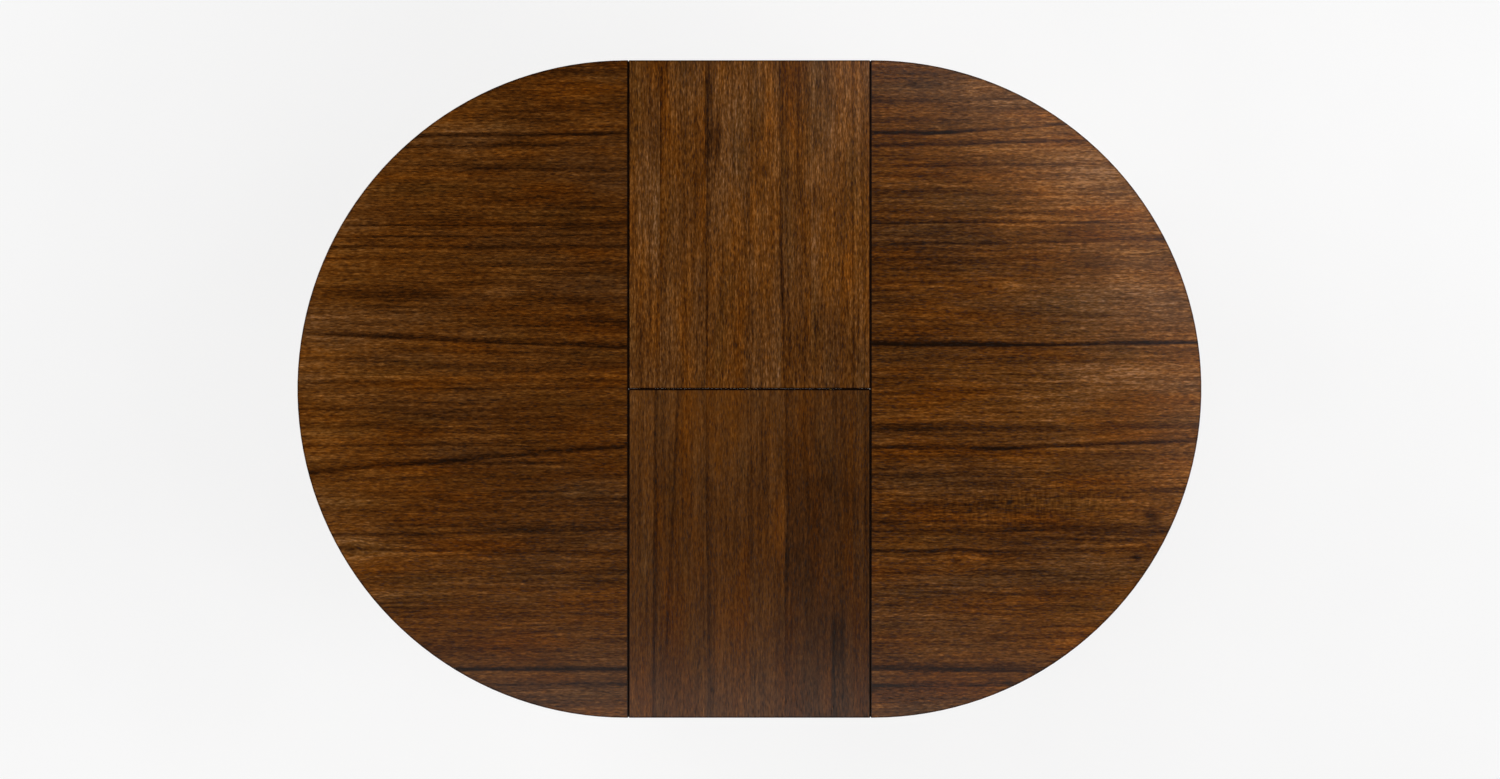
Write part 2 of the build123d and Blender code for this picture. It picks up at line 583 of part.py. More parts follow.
with BuildPart() as foot_glides:
    for side, row, x_sign, y_sign in corners:
        foot_point = (x_sign * (LEG_X + LEG_SPLAY), y_sign * (LEG_Y + LEG_SPLAY))
        with BuildSketch(Plane((*foot_point, 0))):
            Circle(GLIDE_DIAMETER / 2)
        extrude(amount=GLIDE_HEIGHT)
        with BuildSketch(Plane((*foot_point, 0))):
            Circle(GLIDE_STEM / 2)
        extrude(amount=GLIDE_HEIGHT + GLIDE_STEM_LENGTH)
    chamfer(foot_glides.edges().group_by(Axis.Z)[0], GLIDE_HEIGHT / 3)
save(foot_glides, "foot_glides")

# Corner braces across each corner, with hanger bolts from the legs and a washer and nut on each
BRACE_OUTER_SUM = LEG_INNER_X + LEG_INNER_Y - BRACE_GAP * sqrt(2)
BRACE_INNER_SUM = BRACE_OUTER_SUM - BRACE_THICKNESS * sqrt(2)
BRACE_DISTANCE = (LEG_X + LEG_Y - BRACE_INNER_SUM) / sqrt(2)
with BuildPart() as corner_braces:
    for side, row, x_sign, y_sign in corners:
        with BuildSketch(Plane.XY.offset(BRACE_BOTTOM)):
            with BuildLine():
                Polyline(
                    (x_sign * (BRACE_INNER_SUM - APRON_INNER_Y), y_sign * APRON_INNER_Y),
                    (x_sign * (BRACE_OUTER_SUM - APRON_INNER_Y), y_sign * APRON_INNER_Y),
                    (x_sign * APRON_INNER_X, y_sign * (BRACE_OUTER_SUM - APRON_INNER_X)),
                    (x_sign * APRON_INNER_X, y_sign * (BRACE_INNER_SUM - APRON_INNER_X)),
                    close=True,
                )
            make_face()
        extrude(amount=BRACE_TOP - BRACE_BOTTOM)
        for level in BOLT_LEVELS:
            with BuildSketch(Plane((x_sign * LEG_X, y_sign * LEG_Y, level), z_dir=(-x_sign, -y_sign, 0))):
                Circle(BOLT_DIAMETER / 2 + BOLT_PLAY)
            extrude(amount=BRACE_DISTANCE + BRACE_THICKNESS, mode=Mode.SUBTRACT)
save(corner_braces, "corner_braces")

with BuildPart() as hanger_bolts:
    bolt_start = BRACE_DISTANCE - BRACE_THICKNESS - BRACE_GAP - BOLT_BITE
    bolt_end = BRACE_DISTANCE + WASHER_THICKNESS + NUT_HEIGHT + BOLT_DIAMETER / 2
    for side, row, x_sign, y_sign in corners:
        for level in BOLT_LEVELS:
            bolt_plane = Plane((x_sign * LEG_X, y_sign * LEG_Y, level), z_dir=(-x_sign, -y_sign, 0))
            with BuildSketch(bolt_plane.offset(bolt_start)):
                Circle(BOLT_DIAMETER / 2)
            extrude(amount=bolt_end - bolt_start)
save(hanger_bolts, "hanger_bolts")

with BuildPart() as brace_nuts:
    for side, row, x_sign, y_sign in corners:
        for level in BOLT_LEVELS:
            nut_plane = Plane((x_sign * LEG_X, y_sign * LEG_Y, level), z_dir=(-x_sign, -y_sign, 0))
            with BuildSketch(nut_plane.offset(BRACE_DISTANCE)):
                Circle(BOLT_DIAMETER)
                Circle(BOLT_DIAMETER / 2 + BOLT_PLAY, mode=Mode.SUBTRACT)
            extrude(amount=WASHER_THICKNESS)
            with BuildSketch(nut_plane.offset(BRACE_DISTANCE + WASHER_THICKNESS)):
                RegularPolygon(0.8 * BOLT_DIAMETER, 6, major_radius=False)
                Circle(BOLT_DIAMETER / 2 + BOLT_PLAY, mode=Mode.SUBTRACT)
            extrude(amount=NUT_HEIGHT)
save(brace_nuts, "brace_nuts")

# Storage battens across the well, with felt-topped rest blocks for the folded leaf
for side, sign in SIDES.items():
    with BuildPart() as batten:
        x_range = (sign * BRACKET_X - BATTEN_WIDTH / 2, sign * BRACKET_X + BATTEN_WIDTH / 2)
        block(x_range, (-APRON_INNER_Y, APRON_INNER_Y), (BATTEN_BOTTOM, BATTEN_TOP))
        fillet(batten.edges().filter_by(Axis.Y).group_by(Axis.Z)[0], APRON_EASE)
    save(batten, f"storage_batten_{side}")

rest_places = [(x * BRACKET_X, y * REST_Y) for x in SIDES.values() for y in ROWS.values()]
with BuildPart() as rest_blocks:
    with BuildSketch(Plane.XY.offset(BATTEN_TOP)):
        with Locations(*rest_places):
            RectangleRounded(BATTEN_WIDTH - 2 * REST_INSET, REST_LENGTH, APRON_EASE)
    extrude(amount=REST_TOP - BATTEN_TOP)
save(rest_blocks, "rest_blocks")

with BuildPart() as felt_pads:
    with BuildSketch(Plane.XY.offset(REST_TOP)):
        with Locations(*rest_places):
            RectangleRounded(BATTEN_WIDTH - 4 * REST_INSET, REST_LENGTH - 2 * REST_INSET, APRON_EASE)
    extrude(amount=FELT_THICKNESS)
save(felt_pads, "felt_pads")

# Swing brackets on the battens: a foot and an upright plate with the two fixed pivots
with BuildPart() as swing_brackets:
    for sign in SIDES.values():
        plate_start = sign * BRACKET_X - BRACKET_PLATE / 2
        y_low = FIXED_PIVOTS[0] - BRACKET_OVERHANG
        y_high = FIXED_PIVOTS[1] + BRACKET_OVERHANG
        with BuildSketch(Plane.YZ.offset(plate_start)) as upright:
            middle, length = span(y_low, y_high)
            with Locations((middle, (BATTEN_TOP + PIVOT_Z + EYE_RADIUS) / 2)):
                Rectangle(length, PIVOT_Z + EYE_RADIUS - BATTEN_TOP)
            fillet(upright.vertices().group_by(Axis.Z)[-1], EYE_RADIUS)
            with Locations(*[(y, PIVOT_Z) for y in FIXED_PIVOTS]):
                Circle(SHAFT_DIAMETER / 2 + PIVOT_PLAY, mode=Mode.SUBTRACT)
        extrude(amount=BRACKET_PLATE)
        foot_x = (sign * BRACKET_OUTER, sign * (BRACKET_X - BATTEN_WIDTH / 2 + REST_INSET))
        block(foot_x, (y_low, y_high), (BATTEN_TOP, BATTEN_TOP + BRACKET_FLANGE))
save(swing_brackets, "swing_brackets")

# Swing shafts and the arms fixed to their ends, each arm with a stud into the leaf bracket
for index, place in enumerate(("front", "rear")):
    with BuildPart() as shaft:
        with BuildSketch(Plane.YZ.offset(-SHAFT_END[place])):
            with Locations((FIXED_PIVOTS[index], PIVOT_Z)):
                Circle(SHAFT_DIAMETER / 2)
        extrude(amount=2 * SHAFT_END[place])
    save(shaft, f"swing_shaft_{place}")

    with BuildPart() as arms:
        for sign in SIDES.values():
            arm_start = min(sign * ARM_X[place], sign * (ARM_X[place] + ARM_THICKNESS))
            arm_middle = ((FIXED_PIVOTS[index] + MOVING_PIVOTS[index]) / 2, (PIVOT_Z + PIVOT_TOP) / 2)
            with BuildSketch(Plane.YZ.offset(arm_start)):
                with Locations(Location((*arm_middle, 0), (0, 0, ARM_ANGLE))):
                    SlotCenterToCenter(ARM_LENGTH, ARM_WIDTH)
                with Locations((FIXED_PIVOTS[index], PIVOT_Z)):
                    Circle(SHAFT_DIAMETER / 2 + AXLE_PLAY, mode=Mode.SUBTRACT)
            extrude(amount=ARM_THICKNESS)
            stud_start, stud_end = sorted(sign * x for x in STUD_SPAN[place])
            with BuildSketch(Plane.YZ.offset(stud_start)):
                with Locations((MOVING_PIVOTS[index], PIVOT_TOP)):
                    Circle(STUD_DIAMETER / 2)
            extrude(amount=stud_end - stud_start)
    save(arms, f"swing_arms_{place}")

# Leaf brackets under the front board, with the two moving pivots
with BuildPart() as leaf_brackets:
    for sign in SIDES.values():
        plate_start = sign * BRACKET_X - BRACKET_PLATE / 2
        y_low = MOVING_PIVOTS[0] - BRACKET_OVERHANG
        y_high = MOVING_PIVOTS[1] + BRACKET_OVERHANG
        with BuildSketch(Plane.YZ.offset(plate_start)) as hanger:
            middle, length = span(y_low, y_high)
            with Locations((middle, (LEAF_UNDERSIDE + PIVOT_TOP - EYE_RADIUS) / 2)):
                Rectangle(length, LEAF_UNDERSIDE - PIVOT_TOP + EYE_RADIUS)
            fillet(hanger.vertices().group_by(Axis.Z)[0], EYE_RADIUS)
            with Locations(*[(y, PIVOT_TOP) for y in MOVING_PIVOTS]):
                Circle(STUD_DIAMETER / 2 + PIVOT_PLAY, mode=Mode.SUBTRACT)
        extrude(amount=BRACKET_PLATE)
        flange_x = (sign * BRACKET_OUTER, sign * (BRACKET_X - BATTEN_WIDTH / 2 + REST_INSET))
        block(flange_x, (y_low, y_high), (LEAF_UNDERSIDE - BRACKET_FLANGE, LEAF_UNDERSIDE))
save(leaf_brackets, "leaf_brackets")

# Table locks: plates with headed posts on the left half, hooked levers on them, keepers on the right half
with BuildPart() as lock_plates:
    for sign in ROWS.values():
        with BuildSketch(Plane((LOCK_X, sign * LOCK_Y, UNDERSIDE - LOCK_PLATE))):
            RectangleRounded(LOCK_PLATE_LENGTH, LOCK_PLATE_WIDTH, LOCK_PLATE)
        extrude(amount=LOCK_PLATE)
        with BuildSketch(Plane((LOCK_X, sign * LOCK_Y, POST_END))):
            Circle(LOCK_POST / 2)
        extrude(amount=UNDERSIDE - LOCK_PLATE - POST_END)
        with BuildSketch(Plane((LOCK_X, sign * LOCK_Y, POST_END))):
            Circle(POST_HEAD / 2)
        extrude(amount=POST_HEAD_HEIGHT)
save(lock_plates, "lock_plates")

with BuildPart() as lock_keepers:
    keeper_middle = SEAM_X + LOCK_PLATE + KEEPER_LENGTH / 2
    for sign in ROWS.values():
        with BuildSketch(Plane((keeper_middle, sign * LOCK_Y, UNDERSIDE - LOCK_PLATE))):
            RectangleRounded(KEEPER_LENGTH, LOCK_PLATE_WIDTH, LOCK_PLATE)
        extrude(amount=LOCK_PLATE)
        with BuildSketch(Plane((KEEPER_X, sign * LOCK_Y, LEVER_BOTTOM))):
            Circle(KEEPER_POST / 2)
        extrude(amount=UNDERSIDE - LEVER_BOTTOM)
save(lock_keepers, "lock_keepers")

for row, sign in ROWS.items():
    with BuildPart() as lever:
        with BuildSketch(Plane((LOCK_X, sign * LOCK_Y, LEVER_BOTTOM))):
            with BuildLine():
                outer_arc = CenterArc((0, 0), HOOK_OUTER, sign * HOOK_START, sign * HOOK_SPAN)
                inner_arc = CenterArc((0, 0), HOOK_INNER, sign * HOOK_START, sign * HOOK_SPAN)
                Line(outer_arc @ 0, inner_arc @ 0)
                Line(outer_arc @ 1, inner_arc @ 1)
            make_face()
            Circle(HUB_RADIUS)
            web_angle = sign * (HOOK_START + HOOK_SPAN - HOOK_WEB_INSET)
            web_middle = HOOK_INNER / 2
            web_point = (web_middle * cos(radians(web_angle)), web_middle * sin(radians(web_angle)), 0)
            thumb_point = (-web_middle, 0, 0)
            with Locations(Location(web_point, (0, 0, web_angle)), Location(thumb_point)):
                SlotOverall(HOOK_INNER + HUB_RADIUS / 2, HUB_RADIUS)
            Circle(LOCK_POST / 2 + PIVOT_PLAY, mode=Mode.SUBTRACT)
        extrude(amount=LOCK_LEVER)
    save(lever, f"lock_lever_{row}")
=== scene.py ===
# %% [markdown]
# An extendable dining table, seen from straight above with its folding leaf in place.
# The measured model is loaded first and stays as it is. This lesson dresses it: camera, walnut for
# the boards, paler hardwood for the slides, metal and nylon for the fittings, the small screws that
# hold the fittings on, and at the end the floor and the light.

# %% The measured model
import math

import bpy
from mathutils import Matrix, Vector


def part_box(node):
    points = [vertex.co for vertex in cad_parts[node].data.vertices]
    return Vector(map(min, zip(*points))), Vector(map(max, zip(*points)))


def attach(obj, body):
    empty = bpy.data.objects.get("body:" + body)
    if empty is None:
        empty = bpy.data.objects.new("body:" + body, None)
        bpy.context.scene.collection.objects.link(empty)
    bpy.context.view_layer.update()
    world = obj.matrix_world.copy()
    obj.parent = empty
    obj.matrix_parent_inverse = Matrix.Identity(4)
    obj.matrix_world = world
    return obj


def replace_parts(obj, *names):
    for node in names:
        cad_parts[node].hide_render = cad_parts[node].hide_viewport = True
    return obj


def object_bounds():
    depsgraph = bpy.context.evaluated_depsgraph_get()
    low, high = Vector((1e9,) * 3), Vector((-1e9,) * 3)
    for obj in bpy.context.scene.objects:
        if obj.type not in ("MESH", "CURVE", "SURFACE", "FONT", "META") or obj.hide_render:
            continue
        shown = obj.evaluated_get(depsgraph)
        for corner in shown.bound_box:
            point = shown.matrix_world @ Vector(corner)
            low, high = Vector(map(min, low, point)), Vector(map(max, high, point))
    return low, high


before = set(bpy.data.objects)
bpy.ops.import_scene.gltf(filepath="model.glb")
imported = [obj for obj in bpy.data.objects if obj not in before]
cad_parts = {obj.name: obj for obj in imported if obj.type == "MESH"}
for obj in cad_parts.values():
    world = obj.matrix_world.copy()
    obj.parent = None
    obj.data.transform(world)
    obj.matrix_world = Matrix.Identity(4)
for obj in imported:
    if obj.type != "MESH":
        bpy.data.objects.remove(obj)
cad_low, cad_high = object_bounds()
print("table", [round(high - low, 3) for low, high in zip(cad_low, cad_high)], "m")

# %% [markdown]
# The photograph looks straight down, so a place on it is a place on the table top: one scale and
# one middle point turn its pixels into metres. Everything drawn into the wood later uses this.

# %% From the photograph to the table top
PHOTO_WIDTH = 1500
PHOTO_HEIGHT = 779
PHOTO_MIDDLE = (749.4, 389.0)
METRES_PER_PIXEL = 1.8537e-3
TOP_Z = cad_high.z


def on_top(pixel):
    """The place on the table top that a pixel of the photograph shows, in metres."""
    x = (pixel[0] - PHOTO_MIDDLE[0]) * METRES_PER_PIXEL
    y = (PHOTO_MIDDLE[1] - pixel[1]) * METRES_PER_PIXEL
    return Vector((x, y, TOP_Z))


def metres(pixels):
    """A length on the photograph, in metres."""
    return pixels * METRES_PER_PIXEL


print("right seam at", round(on_top((872, 389)).x, 4), "m")

# %% [markdown]
# A table top photographed from above shows no perspective, only its outline. A camera without
# perspective would draw that too, but a camera with a long lens far above stays a real camera, and
# other views keep the same calm drawing.

# %% Camera
CAMERA_DISTANCE = 20.0
CAMERA_REACH = 100.0
SENSOR_WIDTH = 36.0

camera_data = bpy.data.cameras.new("camera")
camera_data.sensor_width = SENSOR_WIDTH
camera_data.lens = SENSOR_WIDTH * CAMERA_DISTANCE / metres(PHOTO_WIDTH)
camera_data.clip_end = CAMERA_REACH
camera = bpy.data.objects.new("camera", camera_data)
bpy.context.scene.collection.objects.link(camera)
camera.location = on_top((PHOTO_WIDTH / 2, PHOTO_HEIGHT / 2)) + Vector((0, 0, CAMERA_DISTANCE))
bpy.context.scene.camera = camera
bpy.context.scene.view_settings.view_transform = "Standard"
print("lens", round(camera_data.lens, 1), "mm")

# %% [markdown]
# Materials are small networks of nodes. Writing them node by node hides the idea, so one class
# wraps a socket: sums and products of wires read like arithmetic, and each one adds a Math node.
# Every other kind of node comes from one method, which sets the node up before it wires it.


# %% Wires that add and multiply
class Wire:
    """A socket of a material, which takes part in Python sums."""

    def __init__(self, tree, socket=None):
        self.tree = tree
        self.socket = socket

    def node(self, kind, settings, sockets, out=0):
        """Add a node: its settings, then the values or links of its sockets. Gives one output."""
        made = self.tree.nodes.new(kind)
        for name, value in settings.items():
            if name == "stops":
                self.fill_ramp(made.color_ramp, value)
            else:
                setattr(made, name, value)
        for key, value in sockets.items():
            if isinstance(value, Wire):
                self.tree.links.new(value.socket, made.inputs[key])
            else:
                made.inputs[key].default_value = value
        return Wire(self.tree, made.outputs[out])

    def fill_ramp(self, ramp, stops):
        """Give a colour ramp its stops: pairs of a place and a colour."""
        while len(ramp.elements) < len(stops):
            ramp.elements.new(1.0)
        for element, (place, colour) in zip(ramp.elements, stops):
            element.position = place
            element.color = colour

    def math(self, operation, *values):
        return self.node("ShaderNodeMath", {"operation": operation}, dict(enumerate(values)))

    def __add__(self, other):
        return self.math("ADD", self, other)

    def __radd__(self, other):
        return self.math("ADD", other, self)

    def __sub__(self, other):
        return self.math("SUBTRACT", self, other)

    def __rsub__(self, other):
        return self.math("SUBTRACT", other, self)

    def __mul__(self, other):
        return self.math("MULTIPLY", self, other)

    def __rmul__(self, other):
        return self.math("MULTIPLY", other, self)

    def __abs__(self):
        return self.math("ABSOLUTE", self)

    def larger(self, other):
        return self.math("MAXIMUM", self, other)

    def step(self, start, end):
        """0 up to start and 1 past end, or the other way round, with a smooth change between."""
        settings = {"interpolation_type": "SMOOTHSTEP"}
        low, high, first = (start, end, 0.0) if start < end else (end, start, 1.0)
        places = {"From Min": low, "From Max": high, "To Min": first, "To Max": 1.0 - first}
        return self.node("ShaderNodeMapRange", settings, {"Value": self, **places})

    def vector(self, x, y, z):
        return self.node("ShaderNodeCombineXYZ", {}, {"X": x, "Y": y, "Z": z})

    def parts(self):
        """The three numbers of a vector."""
        first = self.node("ShaderNodeSeparateXYZ", {}, {"Vector": self})
        return [Wire(self.tree, socket) for socket in first.socket.node.outputs]

    def seen_from(self, place, turn=0.0, size=(1.0, 1.0, 1.0)):
        """This point measured from a place, along turned axes, in units of a size."""
        sockets = {"Vector": self, "Location": place, "Rotation": (0, 0, turn), "Scale": size}
        return self.node("ShaderNodeMapping", {"vector_type": "TEXTURE"}, sockets)

    def length(self):
        return self.node("ShaderNodeVectorMath", {"operation": "LENGTH"}, {0: self}, "Value")

    def noise(self, detail=2.0):
        sockets = {"Vector": self, "Scale": 1.0, "Detail": detail, "Roughness": 0.5}
        return self.node("ShaderNodeTexNoise", {}, sockets)

    def specks(self):
        """Distance to the nearest of many scattered points."""
        return self.node("ShaderNodeTexVoronoi", {}, {"Vector": self, "Scale": 1.0})

    def ramp(self, stops):
        return self.node("ShaderNodeValToRGB", {"stops": stops}, {"Fac": self})

    def blend(self, first, second):
        """A colour between two, this wire saying how far."""
        sockets = {0: self, 6: first, 7: second}
        return self.node("ShaderNodeMix", {"data_type": "RGBA"}, sockets, 2)

    def tint(self, colour, filter_colour):
        """A colour seen through a filter, this wire saying how much."""
        settings = {"data_type": "RGBA", "blend_type": "MULTIPLY"}
        return self.node("ShaderNodeMix", settings, {0: self, 6: colour, 7: filter_colour}, 2)

    def bump(self, strength, distance):
        sockets = {"Height": self, "Strength": strength, "Distance": distance}
        return self.node("ShaderNodeBump", {}, sockets)


print("wires ready")

# %% [markdown]
# A colour read off the photograph is a number for a screen. The shader wants the light itself, so
# each colour is made linear first. Two more helpers open a material and close it again: what
# changes over the surface is linked, and what is the same all over is set on the shader.


# %% Colours and materials
def srgb(red, green, blue):
    """A colour as it reads on the photograph, 0 to 255, made linear for the shader."""
    shares = [value / 255 for value in (red, green, blue)]
    linear = [((c + 0.055) / 1.055) ** 2.4 if c > 0.04 else c / 12.92 for c in shares]
    return (*linear, 1.0)


def start_material(name):
    """A new material: its shader and the point being shaded, in metres on the table."""
    material = bpy.data.materials.new(name)
    material.use_nodes = True
    shader = material.node_tree.nodes["Principled BSDF"]
    start = Wire(material.node_tree)
    point = start.node("ShaderNodeTexCoord", {}, {}, "Object")
    return material, shader, point


def finish_material(shader, links, numbers):
    """Link what changes over the surface and set what doesn't on the shader itself."""
    for key, wire in links.items():
        wire.tree.links.new(wire.socket, shader.inputs[key])
    for key, value in numbers.items():
        shader.inputs[key].default_value = value


print("mid grey is", round(srgb(128, 128, 128)[0], 3), "of the light")

# %% [markdown]
# Walnut is made of long fibres. A picture of a board could be laid over the pieces, but it would
# show seams and end at the edges. Noise, squeezed across the grain and drawn out along it, runs
# through the solid wood. The grain lies along a different axis in each piece, so the point is first
# turned into three numbers: along the grain, across it and through it. Real fibres also wander.

# %% Fibres
DIAGONAL = math.sqrt(0.5)
# Fibres per metre along and across the grain, and how far they push the grain aside, in metres
SLOW_WANDER = (1.1, 3.0)
QUICK_WANDER = (6.0, 14.0)
SLOW_PUSH = 0.016
QUICK_PUSH = 0.0035


def grain_point(point, axis):
    """The point along, across and through the grain, for grain along x, y, z or a corner brace."""
    x, y, z = point.parts()
    if axis == "corner":
        return (abs(x) - abs(y)) * DIAGONAL, (abs(x) + abs(y)) * DIAGONAL, z
    return {"x": (x, y, z), "y": (y, x, z), "z": (z, x, y)}[axis]


def fibres(along, across, through, per_metre_along, per_metre_across, detail=2.0):
    """Noise drawn out along the grain."""
    stretched = along.vector(
        along * per_metre_along, across * per_metre_across, through * per_metre_across
    )
    return stretched.noise(detail)


def wavy(along, across, through):
    """The place across the grain, shifted slowly to and fro as the fibres wander."""
    slow = fibres(along, across, through, *SLOW_WANDER) - 0.5
    quick = fibres(along, across, through, *QUICK_WANDER) - 0.5
    return across + slow * SLOW_PUSH + quick * QUICK_PUSH


print("fibres wander by up to", round((SLOW_PUSH + QUICK_PUSH) * 500, 1), "mm each way")

# %% [markdown]
# Broad colour bands, growth lines, fine threads and short flecks are the same fibres at different
# widths, so one sum gives the tone of the wood. Pores are tiny dark grooves: cells of a speckled
# noise, drawn out along the grain too. A layer's share in the sum is how strongly it shows.

# %% The tone of walnut
# Fibres per metre along and across the grain, and where it matters the noise's detail
BANDS = (0.9, 9.0)
CLOUDS = (7.0, 24.0)
LINES = (2.2, 62.0, 3.0)
FINE_LINES = (5.0, 150.0)
THREADS = (16.0, 300.0)
FLECKS = (110.0, 460.0, 1.0)
PORES_ALONG = 60.0
PORES_ACROSS = 300.0


def walnut_tone(along, across, through, contrast, lining=1.0):
    """The tone of the fibres, around 0, and the pores, from 0 to 1.

    Lining sets the share of the long lines.
    """
    bands = fibres(along, across, through, *BANDS) - 0.5
    clouds = fibres(along, across, through, *CLOUDS) - 0.5
    lines = fibres(along, across, through, *LINES)
    fine_lines = fibres(along, across, through, *FINE_LINES) - 0.5
    threads = fibres(along, across, through, *THREADS) - 0.5
    flecks = fibres(along, across, through, *FLECKS) - 0.5
    pore_cells = along.vector(
        along * PORES_ALONG, across * PORES_ACROSS, through * PORES_ACROSS
    )
    pores = pore_cells.specks().step(0.42, 0.12)
    growth = (lines - 0.5) * 0.34 - lines.step(0.44, 0.28) * 0.13
    long_lines = (growth + fine_lines * 0.56) * lining
    tone = bands * 0.36 + clouds * 0.16 + long_lines + threads * 0.50 + flecks * 0.90
    return tone * contrast, pores


print("layers of fibres: 6, and the pores")

# %% [markdown]
# The tone goes through one ramp of browns. Walnut isn't one hue: some stretches are warmer and some
# are greyer, so faint filters lie over the browns, slow ones and quick ones. The finish on a
# table top like this is a satin lacquer, smooth on the wood and a little duller in the pores.

# %% Colour and gloss of walnut
WALNUT_BROWNS = [
    (0.00, srgb(24, 11, 3)),
    (0.20, srgb(44, 22, 5)),
    (0.40, srgb(66, 36, 10)),
    (0.60, srgb(88, 52, 18)),
    (0.80, srgb(114, 72, 32)),
    (1.00, srgb(150, 102, 58)),
]
ORANGE_FILTER = (1.14, 1.01, 0.62, 1)
GREY_FILTER = (0.90, 0.97, 1.10, 1)
AMBER_FILTER = (1.11, 0.98, 0.62, 1)
WARM_FILTER = (1.04, 0.98, 0.76, 1)
COOL_FILTER = (0.97, 1.06, 1.46, 1)
# How often the hue changes per metre along and across the grain
HUES = (4.0, 22.0)
QUICK_HUES = (80.0, 330.0)
STRETCHES = (2.2, 10.0)
PORE_DARKNESS = 0.20
LACQUER_ROUGHNESS = 0.18
PORE_ROUGHNESS = 0.16
PORE_RELIEF = 0.10
PORE_DEPTH = 0.0004
LACQUER_SHINE = 0.10


def finish_walnut(shader, along, across, tone, pores, warmer):
    """Colour, satin gloss and the slight depth of the pores from a tone."""
    browns = (tone - pores * PORE_DARKNESS).ramp(WALNUT_BROWNS)
    warmth = along.vector(along * HUES[0], across * HUES[1], 0.0).noise(2.0)
    colour = warmth.step(0.48, 0.68).tint(browns, ORANGE_FILTER)
    colour = warmth.step(0.48, 0.30).tint(colour, GREY_FILTER)
    quick_cells = along.vector(along * QUICK_HUES[0], across * QUICK_HUES[1], 1.0)
    quick_warmth = quick_cells.noise(1.0)
    colour = quick_warmth.step(0.42, 0.72).tint(colour, AMBER_FILTER)
    stretches = along.vector(along * STRETCHES[0], across * STRETCHES[1], 2.0).noise(2.0)
    warm_share = (stretches + warmer).step(0.36, 0.64)
    colour = warm_share.tint(colour, WARM_FILTER)
    colour = (1.0 - warm_share).tint(colour, COOL_FILTER)
    links = {
        "Base Color": colour,
        "Roughness": pores * PORE_ROUGHNESS + LACQUER_ROUGHNESS,
        "Normal": (1.0 - pores).bump(PORE_RELIEF, PORE_DEPTH),
    }
    finish_material(shader, links, {"Specular IOR Level": LACQUER_SHINE})


print("browns in the ramp:", len(WALNUT_BROWNS))

# %% [markdown]
# The photograph shows particular boards, so their particular marks are drawn in over the fibres.
# They could be painted on an image, but a shape given by places and widths stays sharp from
# near and is easy to move. Two shapes are enough: a streak is a dark growth line between two
# places, sharp on one side and soft on the other, and a patch is a stain with soft edges.

# %% Marks in the wood
STREAK_FADE_OUT = 34
STREAK_FADE_IN = 6
BREAKS_ALONG = 14.0
BREAKS_ACROSS = 500.0
BREAKS_APART = 50.0


def streak(point, start, end, soft, sharp):
    """A dark growth line between two pixels: a slow rise on one side, a sharp edge on the other."""
    first, last = on_top(start), on_top(end)
    run = last - first
    from_middle = point.seen_from((first + last) / 2, math.atan2(run.y, run.x))
    u, v = from_middle.parts()[:2]
    profile = v.step(metres(soft), 0.0) * v.step(-metres(sharp), 0.0)
    half = run.length / 2
    ends = abs(u).step(half + metres(STREAK_FADE_OUT), half - metres(STREAK_FADE_IN))
    breaks = u.vector(u * BREAKS_ALONG, v * BREAKS_ACROSS, half * BREAKS_APART)
    broken = breaks.noise(2.0)
    return profile * ends * (broken * 1.5 + 0.3)


def patch(point, middle, radii, turn=0.0):
    """A soft round or long patch, 1 in its middle."""
    size = (metres(radii[0]), metres(radii[1]), 1.0)
    centred = point.seen_from(on_top(middle), math.radians(turn), size)
    return centred.length().step(1.0, 0.15)


def along_photo(point, start, end):
    """0 at a pixel column and 1 at another."""
    x = point.parts()[0]
    return x.step(on_top((start, 0)).x, on_top((end, 0)).x)


print("a streak fades out over", round(metres(STREAK_FADE_OUT + STREAK_FADE_IN), 3), "m")

# %% [markdown]
# The rim of the top and the edges along the seams are darker, by a line a few millimetres wide.
# This is painted shade: the rounded rim turning away from the light, and the shadow down in the
# seams. It could be a strip of its own, but it is only colour, so it goes into the wood's tone. Its
# place comes from the boxes of the measured boards.

# %% Darker edges
RIM_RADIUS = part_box("leaf_back")[1].y
SEAM_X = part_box("top_right")[0].x
LEAF_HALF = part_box("leaf_back")[1].x
RIM_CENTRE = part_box("top_right")[1].x - RIM_RADIUS
PAINTED_RIM_SHADE = 0.22
PAINTED_SEAM_SHADE = 0.55
# Where the painted shade begins and where it is full, in metres from the edge
RIM_LINE = (0.0040, 0.0012)
SEAM_LINE = (0.0026, 0.0012)
LEAF_LINE = (0.0020, 0.0010)
FOLD_LINE = (0.0030, 0.0018)
ANY_HEIGHT = 1e6


def near_rim(distance):
    """The painted shade of the rim at a distance from the middle of the round or straight edge."""
    return distance.step(RIM_RADIUS - RIM_LINE[0], RIM_RADIUS - RIM_LINE[1]) * PAINTED_RIM_SHADE


def half_edge_shade(point, side):
    """How much painted shade darkens the rim and the seam edge of a half, on the side -1 or 1."""
    x = point.parts()[0]
    from_middle = point.seen_from((side * RIM_CENTRE, 0, TOP_Z), 0.0, (1.0, 1.0, ANY_HEIGHT))
    rim = near_rim(from_middle.length())
    seam = (x * side).step(SEAM_X + SEAM_LINE[0], SEAM_X + SEAM_LINE[1]) * PAINTED_SEAM_SHADE
    return rim.larger(seam)


def leaf_edge_shade(point):
    """How much painted shade darkens the rim, seam edges and fold edge of a leaf board."""
    x, y = point.parts()[:2]
    rim = near_rim(abs(y))
    seam = abs(x).step(LEAF_HALF - LEAF_LINE[0], LEAF_HALF - LEAF_LINE[1]) * PAINTED_SEAM_SHADE
    fold = abs(y).step(*FOLD_LINE) * PAINTED_SEAM_SHADE
    return rim.larger(seam.larger(fold))


print("rim radius", round(RIM_RADIUS, 4), "m")

